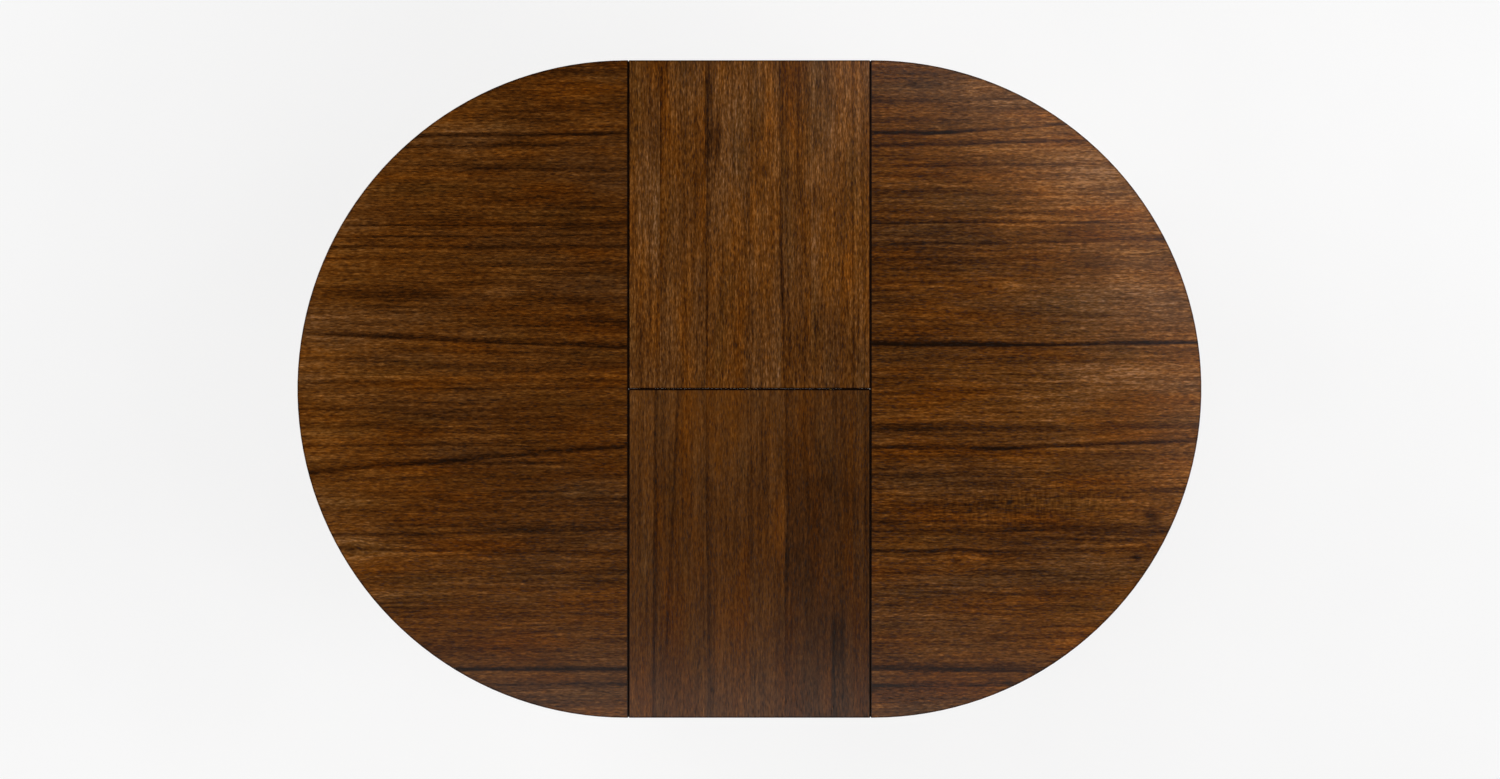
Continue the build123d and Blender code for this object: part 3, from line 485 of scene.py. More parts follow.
# %% [markdown]
# These are the streaks of the two halves, in the photograph's pixels: where each one starts and
# ends, how far it fades on its soft and on its sharp side, and how dark it is. Both halves were cut
# from the same boards, so the bold ones run on from the left half to the right one.

# %% Streaks of the halves
LEFT_STREAKS = {
    "bold one near the back": ((415, 136), (640, 134), 5, 2.5, 0.38),
    "thin one under it": ((400, 147), (640, 145), 4, 1.5, 0.22),
    "full width line": ((330, 225), (640, 224), 3, 1.5, 0.30),
    "double line": ((330, 237), (640, 234), 3, 1.5, 0.19),
    "dark line under it": ((320, 247), (640, 246), 5, 2.0, 0.22),
    "strong sloping one": ((296, 334), (640, 348), 7, 2.5, 0.32),
    "faint one in the middle": ((296, 386), (640, 379), 6, 2.0, 0.08),
    "rising one": ((296, 473.5), (640, 444.5), 6, 3.0, 0.29),
    "thin one above it": ((296, 447), (560, 442), 4, 1.5, 0.15),
    "front pair, upper": ((325, 536), (640, 529), 6, 2.0, 0.19),
    "front pair, lower": ((335, 550), (640, 552), 4, 1.5, 0.16),
    "front third": ((370, 577), (640, 573), 6, 2.0, 0.14),
    "front sloping": ((430, 645), (560, 629), 8, 2.0, 0.08),
    "strong one near the front": ((450, 670.5), (640, 669.5), 5, 2.0, 0.52),
    "last one": ((500, 686), (640, 685), 4, 1.5, 0.32),
}
RIGHT_STREAKS = {
    "bold one near the back": ((862, 134), (942, 133), 6, 2.5, 0.42),
    "thin rising one": ((935, 134), (1075, 124), 4, 1.5, 0.40),
    "line under it": ((862, 147), (1090, 141), 4, 1.5, 0.30),
    "short line": ((905, 167), (1065, 165), 4, 1.5, 0.24),
    "full width line": ((862, 224), (1170, 222), 4, 1.5, 0.30),
    "line under it, fainter": ((862, 246), (1175, 240), 5, 2.0, 0.18),
    "strong line": ((862, 345), (1000, 345), 6, 2.5, 0.52),
    "strong line, far end": ((960, 345), (1210, 342), 4, 2.0, 0.42),
    "middle pair": ((900, 394), (1210, 378), 6, 2.0, 0.06),
    "rising one": ((862, 447.5), (1010, 448.5), 7, 2.5, 0.29),
    "rising one, far end": ((985, 449), (1210, 439.5), 5, 2.0, 0.28),
    "band above it": ((862, 430), (1210, 426), 9, 4.0, 0.16),
    "front pair, upper": ((862, 532), (1180, 527), 9, 2.5, 0.16),
    "front pair, lower": ((862, 553), (1165, 550), 5, 1.5, 0.16),
    "ripple line": ((880, 513), (1185, 487), 6, 2.0, 0.12),
    "strong one near the front": ((862, 669), (1060, 673), 7, 2.5, 0.43),
    "last one": ((862, 686), (1000, 686), 5, 2.0, 0.26),
}
print("streaks on the halves:", len(LEFT_STREAKS), "and", len(RIGHT_STREAKS))

# %% [markdown]
# Paler and darker patches: a middle, two radii along and across the grain, and how much paler
# (above 0) or darker (below 0) the wood is there. Knots have a middle, a size and a darkness, and
# they push the grain aside. One place on the right half has the short cross ripples of curly wood.

# %% Patches, knots and ripples of the halves
LEFT_PATCHES = [
    ((500, 289), (26, 10), 0.14),
    ((548, 310), (36, 12), 0.10),
    ((384, 302), (40, 12), -0.08),
    ((600, 120), (40, 16), 0.08),
    ((440, 132), (115, 52), 0.17),
    ((350, 272), (70, 14), -0.10),
    ((565, 312), (125, 36), -0.11),
    ((385, 545), (145, 95), 0.10),
    ((600, 136), (80, 26), 0.08),
    ((510, 190), (170, 26), -0.07),
    ((612, 256), (55, 26), -0.10),
    ((430, 331), (175, 15), 0.07),
    ((450, 385), (240, 22), 0.09),
    ((370, 427), (120, 17), -0.10),
    ((560, 423), (125, 22), -0.10),
    ((595, 462), (80, 22), -0.08),
    ((510, 585), (190, 22), 0.07),
    ((600, 609), (70, 19), -0.10),
]
RIGHT_PATCHES = [
    ((1010, 287), (24, 8), 0.16),
    ((1098, 266), (34, 20), -0.16),
    ((1152, 517), (14, 11), -0.36),
    ((1136, 558), (7, 5), -0.34),
    ((939, 132), (7, 10), 0.24),
    # This broad pale patch at the back right is partly paler wood and partly painted sheen.
    ((1050, 160), (150, 80), 0.20),
    ((918, 489), (46, 10), 0.14),
    ((950, 526), (110, 6), 0.16),
    ((965, 507), (85, 8), -0.10),
    ((973, 559), (10, 5), 0.16),
    ((1110, 560), (200, 120), -0.15),
    ((985, 95), (70, 22), 0.12),
    ((1085, 286), (185, 44), 0.11),
    ((1130, 245), (44, 70), 0.05),
    ((965, 396), (175, 30), 0.10),
    ((1130, 458), (107, 22), -0.11),
    ((950, 668), (140, 22), 0.09),
    ((915, 140), (90, 42), 0.07),
    ((1100, 176), (44, 20), 0.07),
    ((915, 200), (90, 34), 0.07),
    ((1070, 297), (108, 27), -0.10),
    ((910, 345), (80, 32), -0.07),
    ((1135, 372), (115, 28), 0.09),
    ((1150, 420), (75, 28), -0.07),
    ((980, 481), (205, 38), -0.09),
    ((1085, 567), (95, 16), 0.07),
]
LEFT_KNOTS = [((350, 552), 6, 0.24)]
RIGHT_KNOTS = [((958, 562), 5, 0.24), ((991, 286), 4, 0.24)]
# On the side 1: middle, radii, turn in degrees and strength
RIPPLES = {1: [((1030, 505), (170, 34), 4, 0.55)]}
print("patches on the halves:", len(LEFT_PATCHES), "and", len(RIGHT_PATCHES))

# %% [markdown]
# A half's walnut is put together in the order in which wood gets its looks: the knots bend the
# grain, the fibres follow it, and streaks and patches lie over them, with painted shade along the
# rim and the seam. Each half also has its own tone and contrast and is painted paler towards its
# rim: partly paler wood, partly painted light, brighter where more light falls towards the rim.

# %% Walnut of the halves
KNOT_PUSH = 0.42
KNOT_REACH = (7, 4)
KNOT_LENGTH = 1.4
RIPPLE_SLANT = 5.0
RIPPLES_ALONG = 190.0
RIPPLES_ACROSS = 45.0


def half_walnut(name, side, streaks, paler, base_tone, contrast, warmer, patches, knots):
    """The walnut of one half of the table top, with its own marks."""
    material, shader, point = start_material(name)
    along, across, through = grain_point(point, "x")
    for middle, size, depth in knots:
        seen = point.seen_from(on_top(middle))
        reach = (size * KNOT_REACH[0], size * KNOT_REACH[1])
        push = seen.parts()[1] * patch(point, middle, reach)
        across = across - push * KNOT_PUSH
    across = wavy(along, across, through)
    wandered = along.vector(along, across, through)
    tone, pores = walnut_tone(along, across, through, contrast)
    tone = tone + base_tone
    for start, end, soft, sharp, depth in streaks.values():
        tone = tone - streak(wandered, start, end, soft, sharp) * depth
    for middle, radii, strength in patches:
        tone = tone + patch(wandered, middle, radii) * strength
    for middle, size, depth in knots:
        tone = tone - patch(point, middle, (size * KNOT_LENGTH, size)) * depth
    # Paler towards the rim: partly paler wood, partly painted light where more light falls
    start, end, strength = paler
    tone = tone + along_photo(point, start, end) * strength
    for middle, radii, turn, strength in RIPPLES.get(side, []):
        slanted = across * RIPPLE_SLANT + along * RIPPLES_ALONG
        ticks = slanted.vector(slanted, across * RIPPLES_ACROSS, 0.0).noise(1.0) - 0.5
        tone = tone + ticks * patch(point, middle, radii, turn) * strength
    # Painted shade along the rim and the seam edge
    tone = tone - half_edge_shade(point, side)
    finish_walnut(shader, along, across, tone, pores, warmer)
    return material


left_half_walnut = half_walnut(
    "walnut_left_half",
    side=-1,
    streaks=LEFT_STREAKS,
    # paler towards the left rim, partly painted light
    paler=(430, 300, 0.17),
    base_tone=0.475,
    contrast=0.92,
    warmer=0.05,
    patches=LEFT_PATCHES,
    knots=LEFT_KNOTS,
)
right_half_walnut = half_walnut(
    "walnut_right_half",
    side=1,
    streaks=RIGHT_STREAKS,
    # paler towards the right rim, partly painted light and sheen
    paler=(890, 1210, 0.24),
    base_tone=0.46,
    contrast=1.0,
    warmer=0.02,
    patches=RIGHT_PATCHES,
    knots=RIGHT_KNOTS,
)
print("nodes in the right half's walnut:", len(right_half_walnut.node_tree.nodes))

# %% [markdown]
# The leaf's boards are glued up from staves with the grain across the table. Each stave begins at a
# pixel column and is a little paler or darker than the one before it. The lines and patches are
# given as for the halves.

# %% Staves, lines and patches of the leaf
BACK_STAVES = [(660, 0.01), (706, 0.04), (750, 0.035), (781, -0.095), (811, 0.065), (840, 0.03)]
FRONT_STAVES = [(655, -0.07), (706, 0.03), (750, -0.03), (785, -0.10), (832, -0.03), (853, 0.01)]
BACK_LINES = {
    "orange edge's shadow": ((661, 55), (661, 300), 5, 1.5, 0.13),
    "smear on the joint": ((707, 84), (707, 152), 8, 2.0, 0.38),
    "smear beside it": ((717, 124), (716, 152), 6, 3.0, 0.24),
    "joint below it": ((708, 165), (707, 395), 4, 1.5, 0.20),
    "faint line": ((751, 55), (750, 395), 4, 1.5, 0.08),
    "long line": ((780, 70), (781, 290), 5, 2.0, 0.23),
    "long line, lower end": ((782, 280), (785, 395), 4, 1.5, 0.15),
    "line beside it": ((787, 90), (788, 330), 4, 1.5, 0.07),
    "leaning line": ((806, 250), (824, 390), 5, 1.5, 0.10),
    "second leaning line": ((838, 275), (858, 360), 6, 1.5, 0.08),
    "last line": ((853, 55), (853, 395), 3, 1.5, 0.17),
}
FRONT_LINES = {
    "long line": ((655, 385), (653, 725), 5, 1.5, 0.22),
    "leaning line": ((678, 385), (666, 640), 5, 1.5, 0.17),
    "stave edge": ((707, 385), (709, 725), 5, 1.5, 0.12),
    "second edge": ((749, 420), (750, 560), 5, 1.5, 0.08),
    "third edge": ((786, 385), (786, 725), 5, 1.5, 0.05),
    "fourth edge": ((833, 620), (832, 725), 5, 1.5, 0.24),
}
BACK_PATCHES = [
    ((716, 135), (12, 26), -0.12),
    ((710, 163), (5, 10), 0.24),
    ((780, 148), (5, 8), 0.14),
    ((815, 169), (10, 30), 0.16),
    ((655, 190), (6, 120), 0.12),
    ((645, 230), (14, 180), 0.03),
    ((825, 350), (58, 85), -0.15),
    ((715, 100), (48, 100), 0.12),
    ((843, 110), (40, 95), 0.10),
    ((656, 110), (26, 90), -0.09),
    ((725, 205), (36, 70), 0.06),
    ((752, 340), (28, 80), -0.06),
]
FRONT_PATCHES = [
    ((782, 525), (9, 60), 0.14),
    ((827, 481), (10, 14), -0.14),
    ((805, 540), (18, 90), -0.08),
    ((839, 640), (10, 40), -0.16),
    ((752, 618), (7, 7), 0.16),
    ((640, 700), (20, 30), 0.08),
    ((750, 400), (190, 110), 0.09),
    ((865, 420), (30, 100), 0.07),
    ((716, 555), (26, 120), -0.05),
    ((829, 500), (34, 80), -0.05),
    ((651, 655), (30, 100), -0.05),
    ((800, 710), (80, 70), 0.05),
]
print("staves in each leaf board:", len(BACK_STAVES) + 1)

# %% [markdown]
# A glue line shows because the grain doesn't run on across it. The board could be cut up, with a
# material for each stave, but it is one solid. So the pattern jumps at each glue line: a stave
# takes its fibres from somewhere else along the plank. The marks are drawn over all of them.

# %% Walnut of the leaf
LEAF_LINING = 0.68
STAVE_SHIFT = 0.37


def leaf_walnut(name, base_tone, contrast, warmer, staves, lines, patches):
    """The walnut of one board of the leaf, stave by stave."""
    material, shader, point = start_material(name)
    along, across, through = grain_point(point, "y")
    stave_shift = 0.0
    stave_tone = base_tone
    for edge, change in staves:
        past = across.math("GREATER_THAN", across, on_top((edge, 0)).x)
        stave_shift = past * STAVE_SHIFT + stave_shift
        stave_tone = past * change + stave_tone
    shifted = along + stave_shift
    bent = wavy(shifted, across, through)
    tone, pores = walnut_tone(shifted, bent, through, contrast, LEAF_LINING)
    tone = tone + stave_tone
    wandered = along.vector(bent, along, through)
    for start, end, soft, sharp, depth in lines.values():
        tone = tone - streak(wandered, start, end, soft, sharp) * depth
    for middle, radii, strength in patches:
        tone = tone + patch(wandered, middle, radii) * strength
    # Painted shade along the rim, the seam edges and the fold
    tone = tone - leaf_edge_shade(point)
    finish_walnut(shader, shifted, bent, tone, pores, warmer)
    return material


leaf_back_walnut = leaf_walnut(
    "walnut_leaf_back",
    base_tone=0.55,
    contrast=1.02,
    warmer=-0.04,
    staves=BACK_STAVES,
    lines=BACK_LINES,
    patches=BACK_PATCHES,
)
leaf_front_walnut = leaf_walnut(
    "walnut_leaf_front",
    base_tone=0.515,
    contrast=0.66,
    warmer=-0.07,
    staves=FRONT_STAVES,
    lines=FRONT_LINES,
    patches=FRONT_PATCHES,
)
print("nodes in the leaf's back walnut:", len(leaf_back_walnut.node_tree.nodes))

# %% [markdown]
# The legs and aprons are solid walnut too, without marks of their own. Only the direction of the
# grain changes: up the legs, along the aprons.

# %% Walnut of the base
BASE_TONE = 0.53


def plain_walnut(name, axis):
    """Walnut without marks, with its grain along an axis."""
    material, shader, point = start_material(name)
    along, across, through = grain_point(point, axis)
    bent = wavy(along, across, through)
    tone, pores = walnut_tone(along, bent, through, 1.0)
    finish_walnut(shader, along, bent, tone + BASE_TONE, pores, 0.0)
    return material


leg_walnut = plain_walnut("walnut_leg", "z")
long_apron_walnut = plain_walnut("walnut_long_apron", "x")
end_apron_walnut = plain_walnut("walnut_end_apron", "y")
print("base walnut in three grain directions")

# %% [markdown]
# The slides have to run easily, so they are a dense pale hardwood with tiny flecks, only oiled.
# It needs fewer layers than walnut: lines along the grain, and the flecks.

# %% Slide hardwood
HARDWOOD_BROWNS = [
    (0.0, srgb(132, 92, 54)),
    (0.5, srgb(190, 150, 104)),
    (1.0, srgb(214, 180, 136)),
]
HARDWOOD_LINES = (2.0, 90.0, 3.0)
FLECKS_ALONG = 160.0
FLECKS_ACROSS = 700.0
OILED_ROUGHNESS = 0.52
OILED_SHINE = 0.3


def pale_hardwood(name, axis):
    """Oiled hardwood with its grain along an axis."""
    material, shader, point = start_material(name)
    along, across, through = grain_point(point, axis)
    lines = fibres(along, across, through, *HARDWOOD_LINES)
    cells = along.vector(along * FLECKS_ALONG, across * FLECKS_ACROSS, through * FLECKS_ACROSS)
    flecks = cells.specks().step(0.36, 0.10)
    tone = lines * 0.8 + 0.1 - flecks * 0.28
    links = {
        "Base Color": tone.ramp(HARDWOOD_BROWNS),
        "Roughness": OILED_ROUGHNESS + flecks * 0.15,
        "Normal": (lines - flecks).bump(0.12, 0.0003),
    }
    finish_material(shader, links, {"Specular IOR Level": OILED_SHINE})
    return material


slide_hardwood = pale_hardwood("slide_hardwood_long", "x")
cross_hardwood = pale_hardwood("slide_hardwood_cross", "y")
brace_hardwood = pale_hardwood("slide_hardwood_brace", "corner")
print("hardwood in three grain directions")

# %% [markdown]
# Fittings under a table are plain: zinc plated screws with a cloudy shine, powder coated brackets
# with a fine orange peel, brass hinges, nylon racks and felt pads. Each gets its own fine noise in
# colour, roughness and height. They differ only in numbers, so one function makes them all. The
# numbers are the roughness, how metallic it is, the clouds per metre, and the relief.

# %% Metals, nylon and felt
FINER = 9
FITTING_RELIEF = 0.0002


def fitting(name, dark, pale, roughness, metallic, grain, relief):
    """A fitting's finish: two colours clouded together, with matching gloss and relief."""
    material, shader, point = start_material(name)
    x, y, z = point.parts()
    clouds = x.vector(x * grain, y * grain, z * grain).noise(3.0)
    fine = x.vector(x * grain * FINER, y * grain * FINER, z * grain * FINER).noise(1.0)
    mixed = (clouds * 0.7 + fine * 0.3).step(0.3, 0.7)
    links = {
        "Base Color": mixed.blend(dark, pale),
        "Roughness": roughness + (fine - 0.5) * 0.25 + (clouds - 0.5) * 0.15,
        "Normal": fine.bump(relief, FITTING_RELIEF),
    }
    finish_material(shader, links, {"Metallic": metallic})
    return material


zinc_steel = fitting(
    "zinc_steel", srgb(150, 152, 150), srgb(196, 196, 188), 0.36, 1.0, 160.0, 0.10
)
dark_steel = fitting("dark_steel", srgb(26, 26, 27), srgb(44, 44, 45), 0.50, 0.3, 300.0, 0.35)
brass_hinge = fitting(
    "brass_hinge", srgb(150, 110, 48), srgb(196, 156, 82), 0.34, 1.0, 200.0, 0.10
)
nylon = fitting("nylon", srgb(206, 204, 194), srgb(226, 224, 214), 0.46, 0.0, 120.0, 0.12)
dark_nylon = fitting("dark_nylon", srgb(30, 29, 28), srgb(46, 45, 43), 0.58, 0.0, 220.0, 0.25)
# Nearly black felt for the seams: its darkness is painted shade for the deep seam gaps.
seam_shade_felt = fitting("seam_shade_felt", srgb(22, 15, 11), srgb(40, 28, 21), 0.95, 0.0, 900.0, 0.8)
felt = fitting("felt", srgb(58, 60, 56), srgb(96, 98, 92), 0.95, 0.0, 700.0, 1.0)
print("fitting finishes: 7")

# %% [markdown]
# Every piece of the measured model now takes its finish. A node's name begins with what it is, so
# one table of beginnings covers all of them.

# %% Finishes on the measured pieces
FINISHES = {
    "top_left": left_half_walnut,
    "top_right": right_half_walnut,
    "leaf_back": leaf_back_walnut,
    "leaf_front": leaf_front_walnut,
    "leg_": leg_walnut,
    "apron_front": long_apron_walnut,
    "apron_back": long_apron_walnut,
    "apron_left": end_apron_walnut,
    "apron_right": end_apron_walnut,
    "runner_": slide_hardwood,
    "centre_rail_": slide_hardwood,
    "stiffener_": cross_hardwood,
    "storage_batten_": cross_hardwood,
    "rest_blocks": cross_hardwood,
    "corner_braces": brace_hardwood,
    "rack_": nylon,
    "pinion_front": nylon,
    "pinion_back": nylon,
    "pinion_axles": zinc_steel,
    "foot_glides": dark_nylon,
    "felt_pads": felt,
    "hinge_": brass_hinge,
    "swing_shaft_": zinc_steel,
    "swing_arms_": dark_steel,
    "swing_brackets": dark_steel,
    "leaf_brackets": dark_steel,
    "lock_": dark_steel,
    "half_screws_": zinc_steel,
    "rail_screws": zinc_steel,
    "hanger_bolts": zinc_steel,
    "brace_nuts": zinc_steel,
}

for node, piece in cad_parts.items():
    finish = next(made for start, made in FINISHES.items() if node.startswith(start))
    for place in piece.material_slots:
        place.material = finish
print("pieces with a finish:", len(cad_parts))

# %% [markdown]
# New pieces are modelled as by hand, with Blender's operators. An operator works on all that is
# selected, so each piece starts with nothing selected, and at the end each gets smooth shading, its
# finish and the body it moves with.

# %% Helpers for new pieces
SMOOTH_ANGLE = math.radians(35)


def select_only(*pieces):
    """Leave object mode with just these pieces selected, the last one active."""
    if bpy.context.mode != "OBJECT":
        bpy.ops.object.mode_set(mode="OBJECT")
    bpy.ops.object.select_all(action="DESELECT")
    for piece in pieces:
        piece.select_set(True)
        bpy.context.view_layer.objects.active = piece


def add_cuboid(name, low, high):
    """A cube primitive between two corners, with its size and place applied."""
    select_only()
    low, high = Vector(low), Vector(high)
    bpy.ops.mesh.primitive_cube_add(size=1.0, location=(low + high) / 2, scale=high - low)
    bpy.ops.object.transform_apply(location=True, rotation=True, scale=True)
    piece = bpy.context.object
    piece.name = name
    return piece


def add_cylinder(name, sides, radius, low, high):
    """A cylinder primitive along z between two heights, with its place applied."""
    select_only()
    bpy.ops.mesh.primitive_cylinder_add(
        vertices=sides, radius=radius, depth=high - low, location=(0, 0, (low + high) / 2)
    )
    bpy.ops.object.transform_apply(location=True, rotation=True, scale=True)
    piece = bpy.context.object
    piece.name = name
    return piece


def pick_faces(piece, wanted):
    """In edit mode, select just the faces that a test accepts."""
    bpy.ops.mesh.select_all(action="DESELECT")
    bpy.ops.object.mode_set(mode="OBJECT")
    for face in piece.data.polygons:
        face.select = wanted(face)
    bpy.ops.object.mode_set(mode="EDIT")


def finish_piece(piece, finish, body):
    """Smooth shading by angle, the finish and the body it rides on."""
    select_only(piece)
    bpy.ops.object.shade_smooth_by_angle(angle=SMOOTH_ANGLE)
    piece.data.materials.clear()
    piece.data.materials.append(finish)
    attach(piece, body)
    return piece


print("helpers ready")

# %% [markdown]
# A table like this has a thin felt strip glued in each seam, so that the boards close softly and
# no light shines through. Its felt is nearly black, as painted shade for the darkness deep in the
# seam. Each strip starts as a cube of its size, and its edges are rounded, because felt has no
# sharp ones. A strip is sunk a hair into the board that carries it and stays a hair clear of the
# other one, so that nothing rubs when the halves are drawn apart.

# %% Seam strips
UNDERSIDE_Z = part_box("top_right")[0].z
FOLD_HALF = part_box("leaf_back")[0].y
STRIP_LENGTH = 2 * RIM_RADIUS - 0.003
STRIP_LOW = UNDERSIDE_Z + 0.0066
STRIP_HIGH = UNDERSIDE_Z + 0.0160
STRIP_PLAY = 0.00003
STRIP_SUNK = 0.0001
STRIP_ROUND = 0.0002
FOLD_STRIP_HALF = LEAF_HALF - 0.0002
FOLD_STRIP_LOW = UNDERSIDE_Z + 0.0008
FOLD_STRIP_HIGH = UNDERSIDE_Z + 0.0038


def felt_strip(name, low, high, body):
    """A strip of felt with rounded edges."""
    piece = add_cuboid(name, low, high)
    bpy.ops.object.mode_set(mode="EDIT")
    bpy.ops.mesh.select_all(action="SELECT")
    bpy.ops.mesh.bevel(offset=STRIP_ROUND, segments=2)
    bpy.ops.object.mode_set(mode="OBJECT")
    return finish_piece(piece, seam_shade_felt, body)


for side, sign in (("left", -1), ("right", 1)):
    faces = sorted((sign * (LEAF_HALF + STRIP_PLAY), sign * (SEAM_X + STRIP_SUNK)))
    low = (faces[0], -STRIP_LENGTH / 2, STRIP_LOW)
    high = (faces[1], STRIP_LENGTH / 2, STRIP_HIGH)
    felt_strip(f"seam_strip_{side}", low, high, f"{side}_half")
fold_low = (-FOLD_STRIP_HALF, -FOLD_HALF - STRIP_SUNK, FOLD_STRIP_LOW)
fold_high = (FOLD_STRIP_HALF, FOLD_HALF - STRIP_PLAY, FOLD_STRIP_HIGH)
felt_strip("fold_strip", fold_low, fold_high, "front_leaf")
print("seam strips: 3")

# %% [markdown]
# Wood screws hold the brackets and plates. A profile could be spun round to make one, but a few
# strokes on a cylinder do it too: its lower face is drawn in to the shank, the shank is extruded
# from it and tapered to a point, and two crossed bars are cut out of the head. The lengths of the
# recess are shares of the head, so the same strokes give a screw of any size.

# %% One wood screw
SCREW_SIDES = 20
STRAIGHT_SHARE = 0.7
TIP_SIZE = 0.2
HEAD_EASE = 0.08
RECESS_LENGTH = 0.62
RECESS_WIDTH = 0.13
RECESS_DEPTH = 0.55


def model_screw(name, head, head_height, shank, shank_length):
    """A screw along z with the face of its head at 0 and its tip below."""
    screw = add_cylinder(name, SCREW_SIDES, head, -head_height, 0)
    tip = -head_height - shank_length
    straight = STRAIGHT_SHARE * shank_length
    taper = (1 - STRAIGHT_SHARE) * shank_length
    draw_in = shank / head
    bpy.ops.object.mode_set(mode="EDIT")
    bpy.ops.mesh.select_mode(type="FACE")
    pick_faces(screw, lambda face: face.normal.z < -0.9)
    bpy.ops.transform.resize(value=(draw_in, draw_in, 1), center_override=(0, 0, -head_height))
    bpy.ops.mesh.extrude_region_move(TRANSFORM_OT_translate={"value": (0, 0, -straight)})
    bpy.ops.mesh.extrude_region_move(TRANSFORM_OT_translate={"value": (0, 0, -taper)})
    bpy.ops.transform.resize(value=(TIP_SIZE, TIP_SIZE, 1), center_override=(0, 0, tip))
    pick_faces(screw, lambda face: face.normal.z > 0.9)
    bpy.ops.mesh.bevel(offset=HEAD_EASE * head, segments=2)
    bpy.ops.object.mode_set(mode="OBJECT")
    for x, y in ((RECESS_LENGTH, RECESS_WIDTH), (RECESS_WIDTH, RECESS_LENGTH)):
        low = (-x * head, -y * head, -RECESS_DEPTH * head_height)
        bar = add_cuboid("recess_bar", low, (x * head, y * head, head))
        select_only(screw)
        cut = screw.modifiers.new("recess", "BOOLEAN")
        cut.operation = "DIFFERENCE"
        cut.object = bar
        bpy.ops.object.modifier_apply(modifier=cut.name)
        bpy.data.objects.remove(bar)
    return screw


small_screw = model_screw(
    "small_screw", head=0.0033, head_height=0.0016, shank=0.0016, shank_length=0.012
)
print("faces of one screw:", len(small_screw.data.polygons))

# %% [markdown]
# What repeats is modelled once and copied. Linked copies would share one mesh, but a finished piece
# has its own, so the copies for one fitting are joined. Each screw is turned on by a bit, as screws
# driven home by hand end up.

# %% Copies of a piece
SCREW_TURN = 0.7


def set_copies(name, model, placings, finish, body):
    """Copies of a modelled piece, each at a place and a turn, joined to one piece."""
    copies = []
    for place, turn in placings:
        select_only(model)
        bpy.ops.object.duplicate()
        copy = bpy.context.object
        copy.location = place
        copy.rotation_euler = turn
        copies.append(copy)
    select_only(*copies)
    bpy.ops.object.join()
    bpy.ops.object.transform_apply(location=True, rotation=True, scale=True)
    piece = bpy.context.object
    piece.name = name
    piece.data.name = name
    return finish_piece(piece, finish, body)


def set_screws(name, screw, places, facing_up, body):
    """Screws with their heads at some places, each driven home at its own angle."""
    tilt = 0 if facing_up else math.pi
    placings = [(place, (tilt, 0, SCREW_TURN * number)) for number, place in enumerate(places)]
    return set_copies(name, screw, placings, zinc_steel, body)


print("screws turn by", SCREW_TURN, "radians from one to the next")

# %% [markdown]
# The table locks sit under the left half and their keepers under the right one. A plate has a screw
# in each corner, a keeper has two. The heads lie flush with the plate, a hair proud of it.

# %% Screws of the locks
FLUSH = 0.00015
PLATE = 0.003
PLATE_HALF_WIDTH = 0.018
PLATE_SCREW_X = 0.0145
PLATE_SCREW_Y = 0.0125
KEEPER_SCREW_X = 0.007
KEEPER_SCREW_Y = 0.012
lock_low, lock_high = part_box("lock_plates")
keeper_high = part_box("lock_keepers")[1]
LOCK_X = (lock_low.x + lock_high.x) / 2
LOCK_Y = lock_high.y - PLATE_HALF_WIDTH
plate_z = lock_high.z - PLATE - FLUSH

plate_places = [
    (LOCK_X + dx, row * LOCK_Y + dy, plate_z)
    for row in (-1, 1)
    for dx in (-PLATE_SCREW_X, PLATE_SCREW_X)
    for dy in (-PLATE_SCREW_Y, PLATE_SCREW_Y)
]
keeper_places = [
    (keeper_high.x - KEEPER_SCREW_X, row * LOCK_Y + dy, plate_z)
    for row in (-1, 1)
    for dy in (-KEEPER_SCREW_Y, KEEPER_SCREW_Y)
]
set_screws("lock_plate_screws", small_screw, plate_places, facing_up=False, body="left_half")
set_screws("keeper_screws", small_screw, keeper_places, facing_up=False, body="right_half")
print("screws of the locks:", len(plate_places + keeper_places))

# %% [markdown]
# The leaf swings on brackets: two stand on the storage battens and two hang under the leaf's front
# board. Each has a flange with three screws in a row, whose places are shares of its length.

# %% Screws of the brackets
FOOT_X = 0.1795
SHARES = (0.08, 0.5, 0.92)


def flange_places(node, height):
    """Three screw places along each of the two flanges of a bracket."""
    low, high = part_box(node)
    rows = [low.y + share * (high.y - low.y) for share in SHARES]
    return [(side * FOOT_X, y, height) for side in (-1, 1) for y in rows]


foot_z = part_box("storage_batten_left")[1].z + PLATE + FLUSH
hanger_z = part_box("leaf_brackets")[1].z - PLATE - FLUSH
foot_places = flange_places("swing_brackets", foot_z)
hanger_places = flange_places("leaf_brackets", hanger_z)
set_screws("swing_bracket_screws", small_screw, foot_places, True, "base")
set_screws("leaf_bracket_screws", small_screw, hanger_places, False, "front_leaf")
bpy.data.objects.remove(small_screw)
print("screws of the brackets:", len(foot_places + hanger_places))

# %% [markdown]
# The larger screws, through the runners, the stiffeners and the centre rails, are plain pegs in the
# measured model. The same way of modelling gives them their crossed heads and their points, at the
# places where the measured ones are.

# %% Runner, stiffener and rail screws
HEAD_RADIUS = 0.0045
HEAD_HEIGHT = 0.0035
SHANK_RADIUS = 0.00225
RUNNER_SCREW_X = (0.2922, 0.4476, 0.6030)
RUNNER_SCREW_Y = {"right": 0.326675, "left": 0.371275}
STIFFENER_SCREW_X = 0.695
STIFFENER_SCREW_Y = (-0.2, 0.0, 0.2)


def large_screw(name, low, high):
    """A larger screw, as long as the measured one between two heights."""
    return model_screw(name, HEAD_RADIUS, HEAD_HEIGHT, SHANK_RADIUS, high - low - HEAD_HEIGHT)


